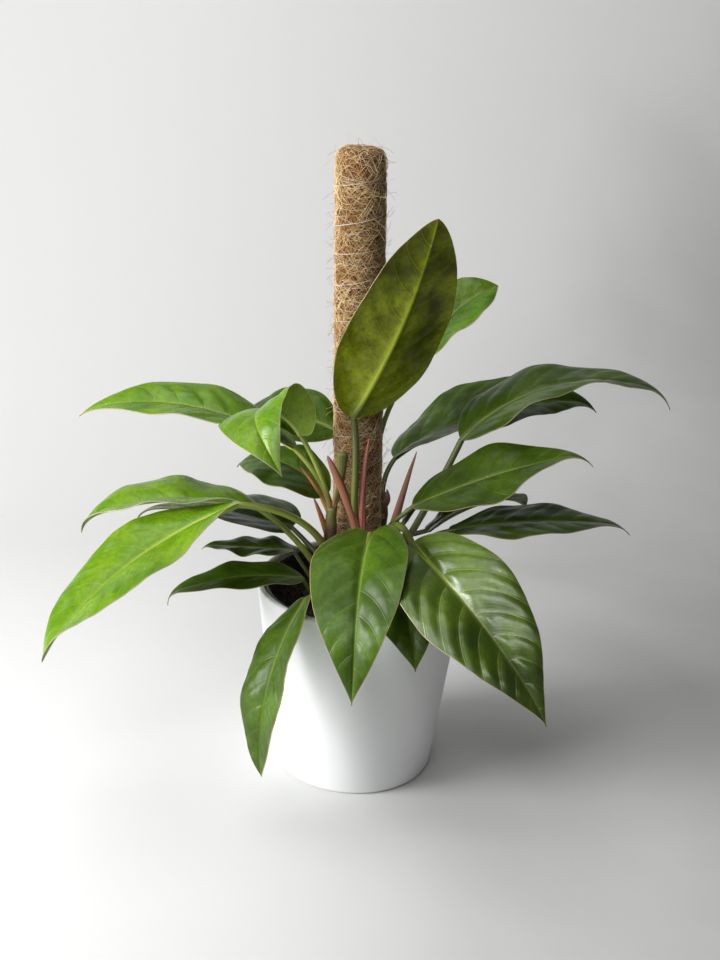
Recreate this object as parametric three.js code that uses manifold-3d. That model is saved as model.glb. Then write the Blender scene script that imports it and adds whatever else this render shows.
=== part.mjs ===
// Potted imperial red philodendron: a white cover pot with a nursery pot and soil inside it,
// a coir pole, four short stems, and every leaf on its stalk. Millimetres, +Z up.
// The origin is the middle of the pot's underside, and -Y is the side that faces the viewer.
import * as THREE from "three";
import { mergeVertices } from "three/addons/utils/BufferGeometryUtils.js";
import Module from "manifold-3d";

const wasm = await Module();
wasm.setup();

// Clearance kept between pieces that touch.
const GAP = 0.3;

// Cover pot: a thin tapered cylinder with a rounded foot and a rounded rim.
const POT = { rimRadius: 105, footRadius: 82, height: 203, wall: 5.4, floor: 8, footRound: 5 };
const POT_SEGMENTS = 36;

// Nursery pot: thin plastic, standing on the cover pot's floor, its lip just under the cover pot's rim.
const LINER = {
  rimRadius: 96,
  footRadius: 72,
  height: 191,
  wall: 1.6,
  bevel: 2,
  lip: 2.2,
  lipHeight: 9,
};
const LINER_SEGMENTS = 30;
const DRAIN = { count: 6, circle: 50, radius: 5, sides: 8 };

// Soil: fills the nursery pot to 28 mm under the cover pot's rim, with a crumbly top.
const SOIL = { top: 175, crumb: 2.2, rings: 3 };

// Coir pole: a wooden core standing on the nursery pot's floor, wrapped in a coir sleeve.
const POLE = { footX: 2, leanPerMm: -0.034, top: 630 };
const CORE = { radius: 11, top: 600, sides: 16 };
const COIR = { radius: 22.7, from: 100, lump: 0.25, sides: 18, ringStep: 26 };
// The sleeve's rounded end: its height, the angles of its rings, and its flat middle's share.
const DOME = { height: 12, angles: [30, 55, 75], flat: 0.55 };
// Binding thread: a helix round the sleeve whose pitch wanders.
const THREAD = {
  radius: 24.8,
  width: 0.9,
  from: 190,
  to: 606,
  turns: 14,
  stepsPerTurn: 13,
  wander: 3,
  wanderPerTurn: 0.37,
};

// Stems: foot and head of each, with the radius at both.
const STEMS = [
  { name: "stem_left", foot: [-36, -26, 138], head: [-32, -29, 292], radius: [8, 5] },
  { name: "stem_front", foot: [2, -42, 138], head: [0, -42, 263], radius: [9, 7.5] },
  { name: "stem_right", foot: [29, -10, 138], head: [26, -10, 259], radius: [8, 6.5] },
  { name: "stem_back", foot: [13, 27, 138], head: [18, 23, 288], radius: [8, 5.5] },
];
const STEM = { sides: 10, rings: 7, node: 0.8 };

// Spears: rolled new leaves and the dry sheaths of old ones, from the stem through a bend to the tip.
const SPEARS = [
  { name: "sheath_brown_front", path: [[2, -46, 250], [-13, -50, 303], [-38, -44, 350]], width: [9, 7] },
  { name: "spear_pink_front", path: [[-2, -46, 250], [-11, -45, 318], [-4, -43, 370]], width: [8, 4] },
  { name: "spear_brown_right", path: [[26, -10, 250], [35, -11, 299], [48, -7, 346]], width: [10, 2.4] },
  { name: "sheath_yellow_left", path: [[-33, -28, 255], [-42, -31, 284], [-50, -34, 303]], width: [7, 2.5] },
  { name: "sheath_yellow_high", path: [[-32, -29, 280], [-48, -31, 317], [-64, -34, 334]], width: [5, 2.5] },
  { name: "sheath_green_left", path: [[-31, -29, 284], [-27, -31, 314], [-26, -31, 336]], width: [5.5, 4] },
  { name: "stub_olive_left", path: [[-31, -29, 286], [-23, -32, 322], [-24, -30, 350]], width: [4, 11] },
  { name: "sheath_pink_right", path: [[19, 22, 276], [25, 12, 285], [21, 10, 298]], width: [8, 3] },
];
const SPEAR = { sides: 7, rings: 6, flat: 0.75 };

// Leaves. root: the point in the stem where the stalk's centre line starts.
// bearing: the compass direction of the centre line in degrees, 0 along +X and 90 along +Y.
// climb: its angle above the horizontal, at the start and the end of the stretch; the blade's
// last part bends down by hook more. roll: how far the blade's right side is turned down, at its
// base, middle and tip. fold: how far each half rises from the midrib. widest: where the blade is
// widest, as a share of its length. side: how much wider the right half is than the middle value.
// lobe: how far the corners reach back past the stalk's end. wave: height, count and phase of the
// margin's waves.
const LEAVES = [
  {
    name: "leaf_top",
    root: [-3, -37, 250],
    stalk: { length: 140, width: 8, bearing: [219, 310], climb: [69, 108] },
    blade: { length: 215, bearing: 344, climb: [55, 80], hook: 0 },
    shape: { halfWidth: 49, widest: 0.46, taper: 0.7, side: -0.04, lobe: 4 },
    roll: [-27, -35, -55],
    fold: 19,
    wave: [2, 2, 2],
  },
  {
    name: "leaf_front",
    root: [0, -45, 236],
    stalk: { length: 60, width: 7, bearing: [307, 260], climb: [65, 49] },
    blade: { length: 180, bearing: 273, climb: [-5, -89], hook: 0 },
    shape: { halfWidth: 46, widest: 0.3, taper: 1.3, side: 0.02, lobe: 17 },
    roll: [10, 12, 13],
    fold: 19,
    wave: [2, 3, 1.7],
  },
  {
    name: "leaf_front_right",
    root: [24, -13, 240],
    stalk: { length: 95, width: 8, bearing: [282, 292], climb: [87, -28] },
    blade: { length: 225, bearing: 343, climb: [-2, -63], hook: 0 },
    shape: { halfWidth: 52, widest: 0.42, taper: 1.3, side: 0.04, lobe: 1 },
    roll: [26, 27, 29],
    fold: 27,
    wave: [2.5, 3, 0.4],
  },
  {
    name: "leaf_front_low",
    root: [4, -45, 190],
    stalk: { length: 65, width: 6, bearing: [333, 283], climb: [59, 23] },
    blade: { length: 95, bearing: 295, climb: [8, -78], hook: 0 },
    shape: { halfWidth: 29, widest: 0.38, taper: 1.3, side: 0.02, lobe: 8 },
    roll: [6, 9, 8],
    fold: 18,
    wave: [2, 3, 5.1],
  },
  {
    name: "leaf_front_left",
    root: [-35, -27, 184],
    stalk: { length: 70, width: 6, bearing: [267, 242], climb: [55, 5] },
    blade: { length: 190, bearing: 244, climb: [-23, -106], hook: 5 },
    shape: { halfWidth: 30, widest: 0.46, taper: 1.1, side: 0, lobe: 9 },
    roll: [30, 26, 12],
    fold: 21,
    wave: [2, 3, 0.8],
  },
  {
    name: "leaf_left_long",
    root: [-33, -28, 238],
    stalk: { length: 125, width: 8, bearing: [228, 189], climb: [67, 3] },
    blade: { length: 235, bearing: 240, climb: [-21, -37], hook: 15 },
    shape: { halfWidth: 44, widest: 0.54, taper: 0.7, side: -0.08, lobe: 9 },
    roll: [14, -5, 53],
    fold: 21,
    wave: [4, 2, 1.2],
  },
  {
    name: "leaf_left_upper",
    root: [-34, -27, 205],
    stalk: { length: 110, width: 7, bearing: [177, 187], climb: [65, 34] },
    blade: { length: 185, bearing: 175, climb: [14, -30], hook: 50 },
    shape: { halfWidth: 39, widest: 0.5, taper: 1.1, side: 0.02, lobe: 6 },
    roll: [14, 1, 3],
    fold: 34,
    wave: [2, 3, 4.2],
  },
  {
    name: "leaf_left_dark",
    root: [-34, -28, 226],
    stalk: { length: 55, width: 6, bearing: [158, 158], climb: [48, 34] },
    blade: { length: 180, bearing: 165, climb: [6, -16], hook: 55 },
    shape: { halfWidth: 43, widest: 0.28, taper: 1.2, side: 0.02, lobe: 11 },
    roll: [-14, 11, 1],
    fold: 21,
    wave: [2, 3, 5.9],
  },
  {
    name: "leaf_left_slim",
    root: [-35, -27, 192],
    stalk: { length: 60, width: 4.5, bearing: [159, 169], climb: [50, 55] },
    blade: { length: 95, bearing: 172, climb: [-3, -5], hook: 45 },
    shape: { halfWidth: 21, widest: 0.4, taper: 1.2, side: -0.02, lobe: 8 },
    roll: [-1, -2, -3],
    fold: 7,
    wave: [2, 3, 1.6],
  },
  {
    name: "leaf_left_low",
    root: [-35, -27, 180],
    stalk: { length: 45, width: 5, bearing: [208, 197], climb: [48, 66] },
    blade: { length: 145, bearing: 183, climb: [14, -27], hook: 70 },
    shape: { halfWidth: 23, widest: 0.4, taper: 1.2, side: -0.02, lobe: 3 },
    roll: [-9, -9, -1],
    fold: 13,
    wave: [2, 3, 3.3],
  },
  {
    name: "leaf_left_high",
    root: [-32, -29, 276],
    stalk: { length: 85, width: 6, bearing: [173, 169], climb: [84, 38] },
    blade: { length: 225, bearing: 173, climb: [29, -21], hook: 20 },
    shape: { halfWidth: 37, widest: 0.4, taper: 1.3, side: 0, lobe: 8 },
    roll: [13, -11, -20],
    fold: 21,
    wave: [2, 3, 5],
  },
  {
    name: "leaf_left_arched",
    root: [-32, -29, 286],
    stalk: { length: 85, width: 6, bearing: [167, 187], climb: [76, 58] },
    blade: { length: 155, bearing: 344, climb: [60, -68], hook: -10 },
    shape: { halfWidth: 43, widest: 0.32, taper: 1.4, side: 0, lobe: 7 },
    roll: [34, 32, 42],
    fold: 16,
    wave: [2, 3, 0.7],
  },
  {
    name: "leaf_left_shaded",
    root: [14, 27, 250],
    stalk: { length: 110, width: 6, bearing: [165, 172], climb: [70, 58] },
    blade: { length: 130, bearing: 140, climb: [20, -40], hook: 20 },
    shape: { halfWidth: 38, widest: 0.4, taper: 1.2, side: 0, lobe: 8 },
    roll: [-30, -30, -30],
    fold: 15,
    wave: [2, 3, 2.4],
  },
  {
    name: "leaf_back_left_low",
    root: [-33, -28, 264],
    stalk: { length: 40, width: 6, bearing: [150, 152], climb: [103, 53] },
    blade: { length: 115, bearing: 148, climb: [44, -36], hook: 20 },
    shape: { halfWidth: 38, widest: 0.38, taper: 1.2, side: -0.2, lobe: 4 },
    roll: [-3, -13, -15],
    fold: 16,
    wave: [2, 3, 4.1],
  },
  {
    name: "leaf_right",
    root: [25, -10, 256],
    stalk: { length: 60, width: 5.5, bearing: [251, 364], climb: [50, 44] },
    blade: { length: 185, bearing: 328, climb: [28, 22], hook: 65 },
    shape: { halfWidth: 37, widest: 0.44, taper: 1.4, side: 0.06, lobe: 6 },
    roll: [0, 28, -20],
    fold: 15,
    wave: [2, 3, 5.8],
  },
  {
    name: "leaf_right_long",
    root: [31, -8, 226],
    stalk: { length: 145, width: 8, bearing: [-7, 17], climb: [64, 67] },
    blade: { length: 225, bearing: -18, climb: [47, -18], hook: 50 },
    shape: { halfWidth: 44, widest: 0.36, taper: 1.2, side: 0, lobe: 0 },
    roll: [9, 1, -8],
    fold: 19,
    wave: [3, 3, 0],
  },
  {
    name: "leaf_right_dark",
    root: [30, -3, 214],
    stalk: { length: 80, width: 6, bearing: [-20, -6], climb: [68, 18] },
    blade: { length: 185, bearing: 11, climb: [18, -12], hook: 40 },
    shape: { halfWidth: 34, widest: 0.42, taper: 1.3, side: 0.02, lobe: 8 },
    roll: [0, 5, -7],
    fold: 8,
    wave: [2, 3, 3.2],
  },
  {
    name: "leaf_right_high",
    root: [16, 24, 280],
    stalk: { length: 155, width: 6, bearing: [4, 5], climb: [106, 50] },
    blade: { length: 110, bearing: 26, climb: [72, 18], hook: 10 },
    shape: { halfWidth: 35, widest: 0.54, taper: 0.9, side: 0, lobe: 8 },
    roll: [14, 17, 30],
    fold: 20,
    wave: [2, 3, 4.9],
  },
  {
    name: "leaf_back_right",
    root: [19, 20, 262],
    stalk: { length: 65, width: 6, bearing: [128, 23], climb: [79, 50] },
    blade: { length: 230, bearing: 8, climb: [34, -8], hook: 40 },
    shape: { halfWidth: 48, widest: 0.4, taper: 1.2, side: 0, lobe: 7 },
    roll: [-22, 12, 23],
    fold: 24,
    wave: [3, 3, 1],
  },
  {
    name: "leaf_back_right_low",
    root: [18, 22, 238],
    stalk: { length: 50, width: 6, bearing: [-2, 15], climb: [10, 14] },
    blade: { length: 140, bearing: 52, climb: [37, -33], hook: 20 },
    shape: { halfWidth: 36, widest: 0.4, taper: 1.2, side: 0, lobe: 8 },
    roll: [-18, -24, -19],
    fold: 17,
    wave: [2, 3, 2.3],
  },
  {
    name: "leaf_behind_right",
    root: [19, 21, 222],
    stalk: { length: 45, width: 6, bearing: [-25, 44], climb: [64, 47] },
    blade: { length: 115, bearing: 70, climb: [49, -66], hook: 20 },
    shape: { halfWidth: 35, widest: 0.42, taper: 1.1, side: 0, lobe: 8 },
    roll: [-44, -52, -48],
    fold: 16,
    wave: [2, 3, 4],
  },
];
// Blade: edge is its least half width, curl how much of the fold is lost at the margin, lag how far
// one margin's waves run behind the other's. Its rows lie closer together towards the base.
const BLADE = {
  thickness: 1,
  rib: 2.6,
  edge: 0.5,
  curl: 0.5,
  lag: 1.9,
  rows: 10,
  rowPower: 1.2,
  steps: 40,
};
const COLUMNS = [-1, -0.55, -0.09, 0, 0.09, 0.55, 1];
// Outline: the powers that round the base and draw out the tip.
const OUTLINE = { base: 2.2, baseRound: 0.62, tip: 1.8 };
// The corners reach back over the first stretch of the blade, and fade out on the midrib's end.
const LOBE = { stretch: 0.25, fade: 0.35, power: 1.5 };
const HOOK = { from: 0.82, power: 1.5 };
// Stalk: foot is how much thicker its foot is, over the first stretch, and collar its end's share.
const STALK = { sides: 6, steps: 16, rings: 5, foot: 1.35, footStretch: 0.25, collar: 0.8 };
// The stalk's last two rings, sunk under the midrib: place along the blade, share and depth.
const SUNK = [
  { at: 0.07, share: 0.8, depth: 1.2 },
  { at: 0.14, share: 0.45, depth: 1.4 },
];

const UP = new THREE.Vector3(0, 0, 1);
const radians = THREE.MathUtils.degToRad;
const mix = THREE.MathUtils.lerp;
const clamp01 = (value) => THREE.MathUtils.clamp(value, 0, 1);

// A closed geometry as a solid, with its shared corners merged.
function solidOf(geometry) {
  const bare = geometry.clone();
  bare.deleteAttribute("normal");
  bare.deleteAttribute("uv");
  const merged = mergeVertices(bare, 1e-4);
  const mesh = new wasm.Mesh({
    numProp: 3,
    vertProperties: new Float32Array(merged.attributes.position.array),
    triVerts: new Uint32Array(merged.index.array),
  });
  return new wasm.Manifold(mesh);
}

// A solid as a three.js geometry.
function geometryOf(solid) {
  const { vertProperties, triVerts, numProp, numVert } = solid.getMesh();
  const positions = new Float32Array(numVert * 3);
  for (let i = 0; i < numVert; i++) {
    positions.set(vertProperties.subarray(i * numProp, i * numProp + 3), i * 3);
  }
  const geometry = new THREE.BufferGeometry();
  geometry.setAttribute("position", new THREE.BufferAttribute(positions, 3));
  geometry.setIndex(new THREE.BufferAttribute(new Uint32Array(triVerts), 1));
  geometry.computeVertexNormals();
  return geometry;
}

// The largest body of a solid: what a cut leaves loose is dropped.
function largestBody(solid) {
  const bodies = solid.decompose();
  return bodies.reduce((a, b) => (a.volume() >= b.volume() ? a : b));
}

// A geometry from points and triangles of their numbers.
function indexedGeometry(points, faces) {
  const geometry = new THREE.BufferGeometry();
  const positions = points.flatMap((p) => p.toArray());
  geometry.setAttribute("position", new THREE.Float32BufferAttribute(positions, 3));
  geometry.setIndex(faces.flat());
  return geometry;
}

// A closed tube through rings of equal count, each ring running counter-clockwise seen from its end.
function tubeOfRings(rings) {
  const sides = rings[0].length;
  const points = rings.flat();
  const faces = [];
  for (let i = 0; i + 1 < rings.length; i++) {
    for (let j = 0; j < sides; j++) {
      const a = i * sides + j;
      const b = i * sides + ((j + 1) % sides);
      faces.push([a, b, b + sides], [a, b + sides, a + sides]);
    }
  }
  const first = points.length;
  const centreOf = (ring) =>
    ring.reduce((sum, p) => sum.add(p), new THREE.Vector3()).divideScalar(sides);
  points.push(centreOf(rings[0]), centreOf(rings[rings.length - 1]));
  const lastRing = (rings.length - 1) * sides;
  for (let j = 0; j < sides; j++) {
    const next = (j + 1) % sides;
    faces.push([first, next, j], [first + 1, lastRing + j, lastRing + next]);
  }
  return indexedGeometry(points, faces);
}

// A ring of points round a centre, in the plane of two unit vectors.
function ringAt(centre, across, up, sides, radiusAt) {
  return Array.from({ length: sides }, (_, j) => {
    const turn = (2 * Math.PI * j) / sides;
    const radius = radiusAt(turn);
    return centre
      .clone()
      .addScaledVector(across, radius * Math.cos(turn))
      .addScaledVector(up, radius * Math.sin(turn));
  });
}

// A round solid from a profile of [radius, height] pairs that starts and ends on the axis.
function turned(profile, segments) {
  const points = profile.map(([radius, height]) => new THREE.Vector2(radius, height));
  return new THREE.LatheGeometry(points, segments).rotateX(Math.PI / 2);
}

// Points of an arc, for a rounded edge in a profile; angles in degrees.
function arc(centreRadius, centreHeight, radius, from, to, steps) {
  return Array.from({ length: steps + 1 }, (_, i) => {
    const angle = radians(mix(from, to, i / steps));
    return [centreRadius + radius * Math.cos(angle), centreHeight + radius * Math.sin(angle)];
  });
}

function potSolid() {
  const lip = POT.wall / 2;
  const innerFoot = POT.footRadius - POT.wall;
  return solidOf(
    turned(
      [
        [0, 0],
        ...arc(POT.footRadius - POT.footRound, POT.footRound, POT.footRound, -90, -8, 3),
        ...arc(POT.rimRadius - lip, POT.height - lip, lip, 0, 180, 4),
        ...arc(innerFoot - POT.footRound, POT.floor + POT.footRound, POT.footRound, -8, -90, 2),
        [0, POT.floor],
      ],
      POT_SEGMENTS,
    ),
  );
}

// The nursery pot's floor stands a gap above the cover pot's floor.
const linerFoot = POT.floor + GAP;
const linerFloor = linerFoot + LINER.wall;

function linerRadiusAt(height) {
  return mix(LINER.footRadius, LINER.rimRadius, (height - linerFoot) / LINER.height);
}

function linerSolid() {
  const top = linerFoot + LINER.height;
  const lipFoot = top - LINER.lipHeight;
  const body = turned(
    [
      [0, linerFoot],
      [LINER.footRadius - LINER.bevel, linerFoot],
      [LINER.footRadius, linerFoot + LINER.bevel],
      [linerRadiusAt(lipFoot), lipFoot],
      [linerRadiusAt(lipFoot) + LINER.lip, lipFoot + LINER.lip / 2],
      [linerRadiusAt(top) + LINER.lip, top],
      [linerRadiusAt(top) - LINER.wall, top],
      [linerRadiusAt(linerFloor + LINER.bevel) - LINER.wall, linerFloor + LINER.bevel],
      [LINER.footRadius - 2 * LINER.bevel, linerFloor],
      [0, linerFloor],
    ],
    LINER_SEGMENTS,
  );
  let solid = solidOf(body);
  for (let i = 0; i < DRAIN.count; i++) {
    const turn = (2 * Math.PI * i) / DRAIN.count;
    const x = DRAIN.circle * Math.cos(turn);
    const y = DRAIN.circle * Math.sin(turn);
    const hole = new THREE.CylinderGeometry(DRAIN.radius, DRAIN.radius, 3 * LINER.wall, DRAIN.sides)
      .rotateX(Math.PI / 2)
      .translate(x, y, linerFoot + LINER.wall / 2);
    solid = solid.subtract(solidOf(hole));
  }
  return solid;
}

// Height of the soil's crumbs, the same for the same place: coarse clods with finer ones on them.
function crumbAt(x, y) {
  const coarse = Math.sin(x / 9 + 1.3) * Math.cos(y / 11 - 0.4);
  const fine = Math.sin(x / 4.1 - y / 5.3);
  return SOIL.crumb * (0.6 * coarse + 0.4 * fine);
}

function soilSolid(stakes) {
  const edgeGap = LINER.wall + GAP;
  const rimRadius = linerRadiusAt(SOIL.top) - edgeGap;
  const profile = [
    [0, linerFloor + GAP],
    [LINER.footRadius - 3 * LINER.bevel, linerFloor + GAP],
    [linerRadiusAt(linerFloor + 1.5 * LINER.bevel) - edgeGap, linerFloor + 1.5 * LINER.bevel],
    [rimRadius, SOIL.top],
  ];
  for (let i = SOIL.rings - 1; i >= 0; i--) {
    profile.push([(rimRadius * i) / SOIL.rings, SOIL.top]);
  }
  const geometry = turned(profile, LINER_SEGMENTS);
  const positions = geometry.attributes.position;
  for (let i = 0; i < positions.count; i++) {
    const x = positions.getX(i);
    const y = positions.getY(i);
    const isTop = positions.getZ(i) > SOIL.top - 1;
    if (isTop && Math.hypot(x, y) < rimRadius - 1) positions.setZ(i, SOIL.top + crumbAt(x, y));
  }
  return stakes.reduce((soil, stake) => soil.subtract(stake), solidOf(geometry));
}

// The pole leans a little, so its axis depends on the height.
const poleAxisAt = (height) => new THREE.Vector3(POLE.footX + POLE.leanPerMm * height, 0, height);
const X_AXIS = new THREE.Vector3(1, 0, 0);
const Y_AXIS = new THREE.Vector3(0, 1, 0);

// A stretch of round pole between two heights.
function poleStretch(from, to, radius, sides) {
  const rings = [from, to].map((height) =>
    ringAt(poleAxisAt(height), X_AXIS, Y_AXIS, sides, () => radius),
  );
  return solidOf(tubeOfRings(rings));
}

// The coir sleeve: lumpy, domed at its top and bored for the core up to the core's end.
function coirSolid() {
  const stations = [];
  const shoulder = POLE.top - DOME.height;
  const count = Math.round((shoulder - COIR.from) / COIR.ringStep);
  for (let i = 0; i <= count; i++) {
    stations.push({ height: mix(COIR.from, shoulder, i / count), share: 1 });
  }
  for (const angle of DOME.angles.map(radians)) {
    stations.push({
      height: shoulder + DOME.height * Math.sin(angle),
      share: mix(DOME.flat, 1, Math.cos(angle)),
    });
  }
  const rings = stations.map(({ height, share }) =>
    ringAt(poleAxisAt(height), X_AXIS, Y_AXIS, COIR.sides, (turn) => {
      const lumps = Math.sin(3 * turn + height / 23) + Math.sin(5 * turn - height / 31);
      return share * (COIR.radius + COIR.lump * lumps);
    }),
  );
  const bore = poleStretch(COIR.from - 1, CORE.top + GAP, CORE.radius + GAP, CORE.sides);
  return solidOf(tubeOfRings(rings)).subtract(bore);
}

// The binding thread's route round the sleeve.
function threadPoint(share) {
  const turn = 2 * Math.PI * THREAD.turns * share;
  const rise = mix(THREAD.from, THREAD.to, share);
  const height = rise + THREAD.wander * Math.sin(turn * THREAD.wanderPerTurn + 1);
  const outward = new THREE.Vector3(Math.cos(turn), Math.sin(turn), 0);
  return { centre: poleAxisAt(height).addScaledVector(outward, THREAD.radius), outward };
}

function threadSolid() {
  const steps = THREAD.turns * THREAD.stepsPerTurn;
  const rings = [];
  for (let i = 0; i <= steps; i++) {
    const { centre, outward } = threadPoint(i / steps);
    rings.push(ringAt(centre, outward, UP, 3, () => THREAD.width / 2).reverse());
  }
  return solidOf(tubeOfRings(rings));
}

// A stem as rings from foot to head, swollen at every other ring; extra widens it for cutting others.
function stemSolid(stem, extra = 0) {
  const foot = new THREE.Vector3(...stem.foot);
  const head = new THREE.Vector3(...stem.head);
  foot.z -= extra;
  head.z += extra;
  const rings = Array.from({ length: STEM.rings }, (_, i) => {
    const share = i / (STEM.rings - 1);
    const node = i % 2 ? STEM.node : 0;
    const radius = mix(stem.radius[0], stem.radius[1], share) + node + extra;
    return ringAt(foot.clone().lerp(head, share), X_AXIS, Y_AXIS, STEM.sides, () => radius);
  });
  return solidOf(tubeOfRings(rings));
}

// A spear or sheath: a flattened tube along a curve.
function spearSolid(spear, extra = 0) {
  const path = new THREE.QuadraticBezierCurve3(...spear.path.map((p) => new THREE.Vector3(...p)));
  const rings = Array.from({ length: SPEAR.rings + 1 }, (_, i) => {
    const share = i / SPEAR.rings;
    const along = path.getTangent(share);
    const across = new THREE.Vector3().crossVectors(Y_AXIS, along).normalize();
    const back = new THREE.Vector3().crossVectors(along, across);
    const half = mix(spear.width[0], spear.width[1], share) / 2;
    return ringAt(path.getPoint(share), across, back, SPEAR.sides, (turn) => {
      const flat = Math.hypot(Math.cos(turn), SPEAR.flat * Math.sin(turn));
      return half * flat + extra;
    });
  });
  return solidOf(tubeOfRings(rings));
}

// The unit vectors along, across to the right of and up from a centre line.
function frameAt(bearing, climb) {
  const along = new THREE.Vector3(
    Math.cos(climb) * Math.cos(bearing),
    Math.cos(climb) * Math.sin(bearing),
    Math.sin(climb),
  );
  const right = new THREE.Vector3(Math.sin(bearing), -Math.cos(bearing), 0);
  return { along, right, up: new THREE.Vector3().crossVectors(right, along) };
}

// A centre line walked in equal steps: its points and its frame at each of them.
function walk(start, length, steps, frameOf) {
  const points = [start.clone()];
  for (let i = 0; i < steps; i++) {
    const middle = frameOf((i + 0.5) / steps);
    points.push(points[i].clone().addScaledVector(middle.along, length / steps));
  }
  return (share) => {
    const place = clamp01(share) * steps;
    const i = Math.min(Math.floor(place), steps - 1);
    return { centre: points[i].clone().lerp(points[i + 1], place - i), ...frameOf(clamp01(share)) };
  };
}

function stalkLine(leaf) {
  const { length, bearing, climb } = leaf.stalk;
  return walk(new THREE.Vector3(...leaf.root), length, STALK.steps, (share) =>
    frameAt(radians(mix(bearing[0], bearing[1], share)), radians(mix(climb[0], climb[1], share))),
  );
}

function bladeLine(leaf) {
  const { length, bearing, climb, hook } = leaf.blade;
  const start = stalkLine(leaf)(1).centre;
  return walk(start, length, BLADE.steps, (share) => {
    const bend = hook * clamp01((share - HOOK.from) / (1 - HOOK.from)) ** HOOK.power;
    const heading = mix(leaf.stalk.bearing[1], bearing, share);
    return frameAt(radians(heading), radians(mix(climb[0], climb[1], share) - bend));
  });
}

// Half the blade's width as a share of its most: round at the base, drawn out at the tip.
function widthShare(share, { widest, taper }) {
  if (share < widest) return (1 - (1 - share / widest) ** OUTLINE.base) ** OUTLINE.baseRound;
  return (1 - ((share - widest) / (1 - widest)) ** OUTLINE.tip) ** taper;
}

// The roll at a share of the blade's length: the parabola through its three values.
function rollAt([base, middle, tip], share) {
  const rest = 1 - share;
  return base * rest * (rest - share) + 4 * middle * share * rest + tip * share * (share - rest);
}

// The point of the blade's middle surface at a share of its length and of its half width, -1 to 1.
function bladePoint(leaf, line, share, across) {
  const { centre, along, right, up } = line(share);
  const { halfWidth, side, lobe } = leaf.shape;
  const reach = Math.abs(across);
  const full = widthShare(share, leaf.shape);
  const width = Math.max(halfWidth * full, BLADE.edge) * (1 + Math.sign(across) * side) * reach;
  const roll = radians(rollAt(leaf.roll, share));
  const rolledRight = right.clone().multiplyScalar(Math.cos(roll)).addScaledVector(up, -Math.sin(roll));
  const rolledUp = up.clone().multiplyScalar(Math.cos(roll)).addScaledVector(right, Math.sin(roll));
  const lift = radians(leaf.fold * (1 - BLADE.curl * reach));
  const nearBase = clamp01(1 - share / LOBE.stretch) ** 2 * Math.min(1, full / LOBE.fade);
  const back = lobe * reach ** LOBE.power * nearBase;
  const [height, count, phase] = leaf.wave;
  const swing = Math.sin(2 * Math.PI * count * share + phase + (across > 0 ? BLADE.lag : 0));
  const wave = height * reach ** 2 * full * swing;
  return {
    point: centre
      .addScaledVector(rolledRight, Math.sign(across) * width * Math.cos(lift))
      .addScaledVector(rolledUp, width * Math.sin(lift) + wave)
      .addScaledVector(along, -back),
    normal: rolledUp,
  };
}

// The blade: two faces split alike, a rim between them, and the midrib raised on the underside.
function bladeSolid(leaf) {
  const line = bladeLine(leaf);
  const upper = [];
  const lower = [];
  for (let i = 0; i <= BLADE.rows; i++) {
    const share = (i / BLADE.rows) ** BLADE.rowPower;
    for (const across of COLUMNS) {
      const { point, normal } = bladePoint(leaf, line, share, across);
      const rib = across === 0 ? BLADE.rib * (1 - share) : 0;
      upper.push(point.clone().addScaledVector(normal, BLADE.thickness / 2));
      lower.push(point.clone().addScaledVector(normal, -BLADE.thickness / 2 - rib));
    }
  }
  const columns = COLUMNS.length;
  const under = upper.length;
  const at = (i, j) => i * columns + j;
  const faces = [];
  for (let i = 0; i < BLADE.rows; i++) {
    for (let j = 0; j + 1 < columns; j++) {
      const [a, b, c, d] = [at(i, j), at(i, j + 1), at(i + 1, j + 1), at(i + 1, j)];
      faces.push([a, b, c], [a, c, d]);
      faces.push([under + a, under + c, under + b], [under + a, under + d, under + c]);
    }
  }
  const rim = [];
  for (let j = 0; j < columns; j++) rim.push(at(0, j));
  for (let i = 1; i <= BLADE.rows; i++) rim.push(at(i, columns - 1));
  for (let j = columns - 2; j >= 0; j--) rim.push(at(BLADE.rows, j));
  for (let i = BLADE.rows - 1; i > 0; i--) rim.push(at(i, 0));
  rim.forEach((a, i) => {
    const b = rim[(i + 1) % rim.length];
    faces.push([a, under + b, b], [a, under + a, under + b]);
  });
  return solidOf(indexedGeometry([...upper, ...lower], faces));
}

// The stalk, from its thick foot in the stem to a thin end sunk into the blade's base.
function stalkSolid(leaf, extra = 0) {
  const line = stalkLine(leaf);
  const blade = bladeLine(leaf);
  const half = leaf.stalk.width / 2;
  const rings = [];
  const addRing = ({ centre, right, up }, radius, drop) => {
    const middle = centre.addScaledVector(up, -drop);
    rings.push(ringAt(middle, right, up, STALK.sides, () => radius + extra).reverse());
  };
  for (let i = 0; i <= STALK.rings; i++) {
    const share = i / STALK.rings;
    const swell = mix(STALK.foot, 1, clamp01(share / STALK.footStretch));
    addRing(line(share), half * swell * mix(1, STALK.collar, share), 0);
  }
  for (const { at, share, depth } of SUNK) addRing(blade(at), half * STALK.collar * share, depth);
  return solidOf(tubeOfRings(rings));
}

const MATERIALS = {
  pot: { color: 0xeceeee, roughness: 0.35 },
  plastic: { color: 0x2b2b2b, roughness: 0.6 },
  soil: { color: 0x241b14, roughness: 0.95 },
  wood: { color: 0xb08a5a, roughness: 0.8 },
  coir: { color: 0x9a7546, roughness: 0.95 },
  thread: { color: 0xdad7cf, roughness: 0.5 },
  stem: { color: 0x6b6a33, roughness: 0.6 },
  sheath: { color: 0x96624a, roughness: 0.6 },
  leaf: { color: 0x4f7a2c, roughness: 0.35 },
};

const plant = new THREE.Group();

// A solid as a named mesh of the group.
function addPiece(name, solid, material) {
  const look = new THREE.MeshStandardMaterial(MATERIALS[material]);
  const mesh = new THREE.Mesh(geometryOf(solid), look);
  mesh.name = name;
  plant.add(mesh);
}

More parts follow.
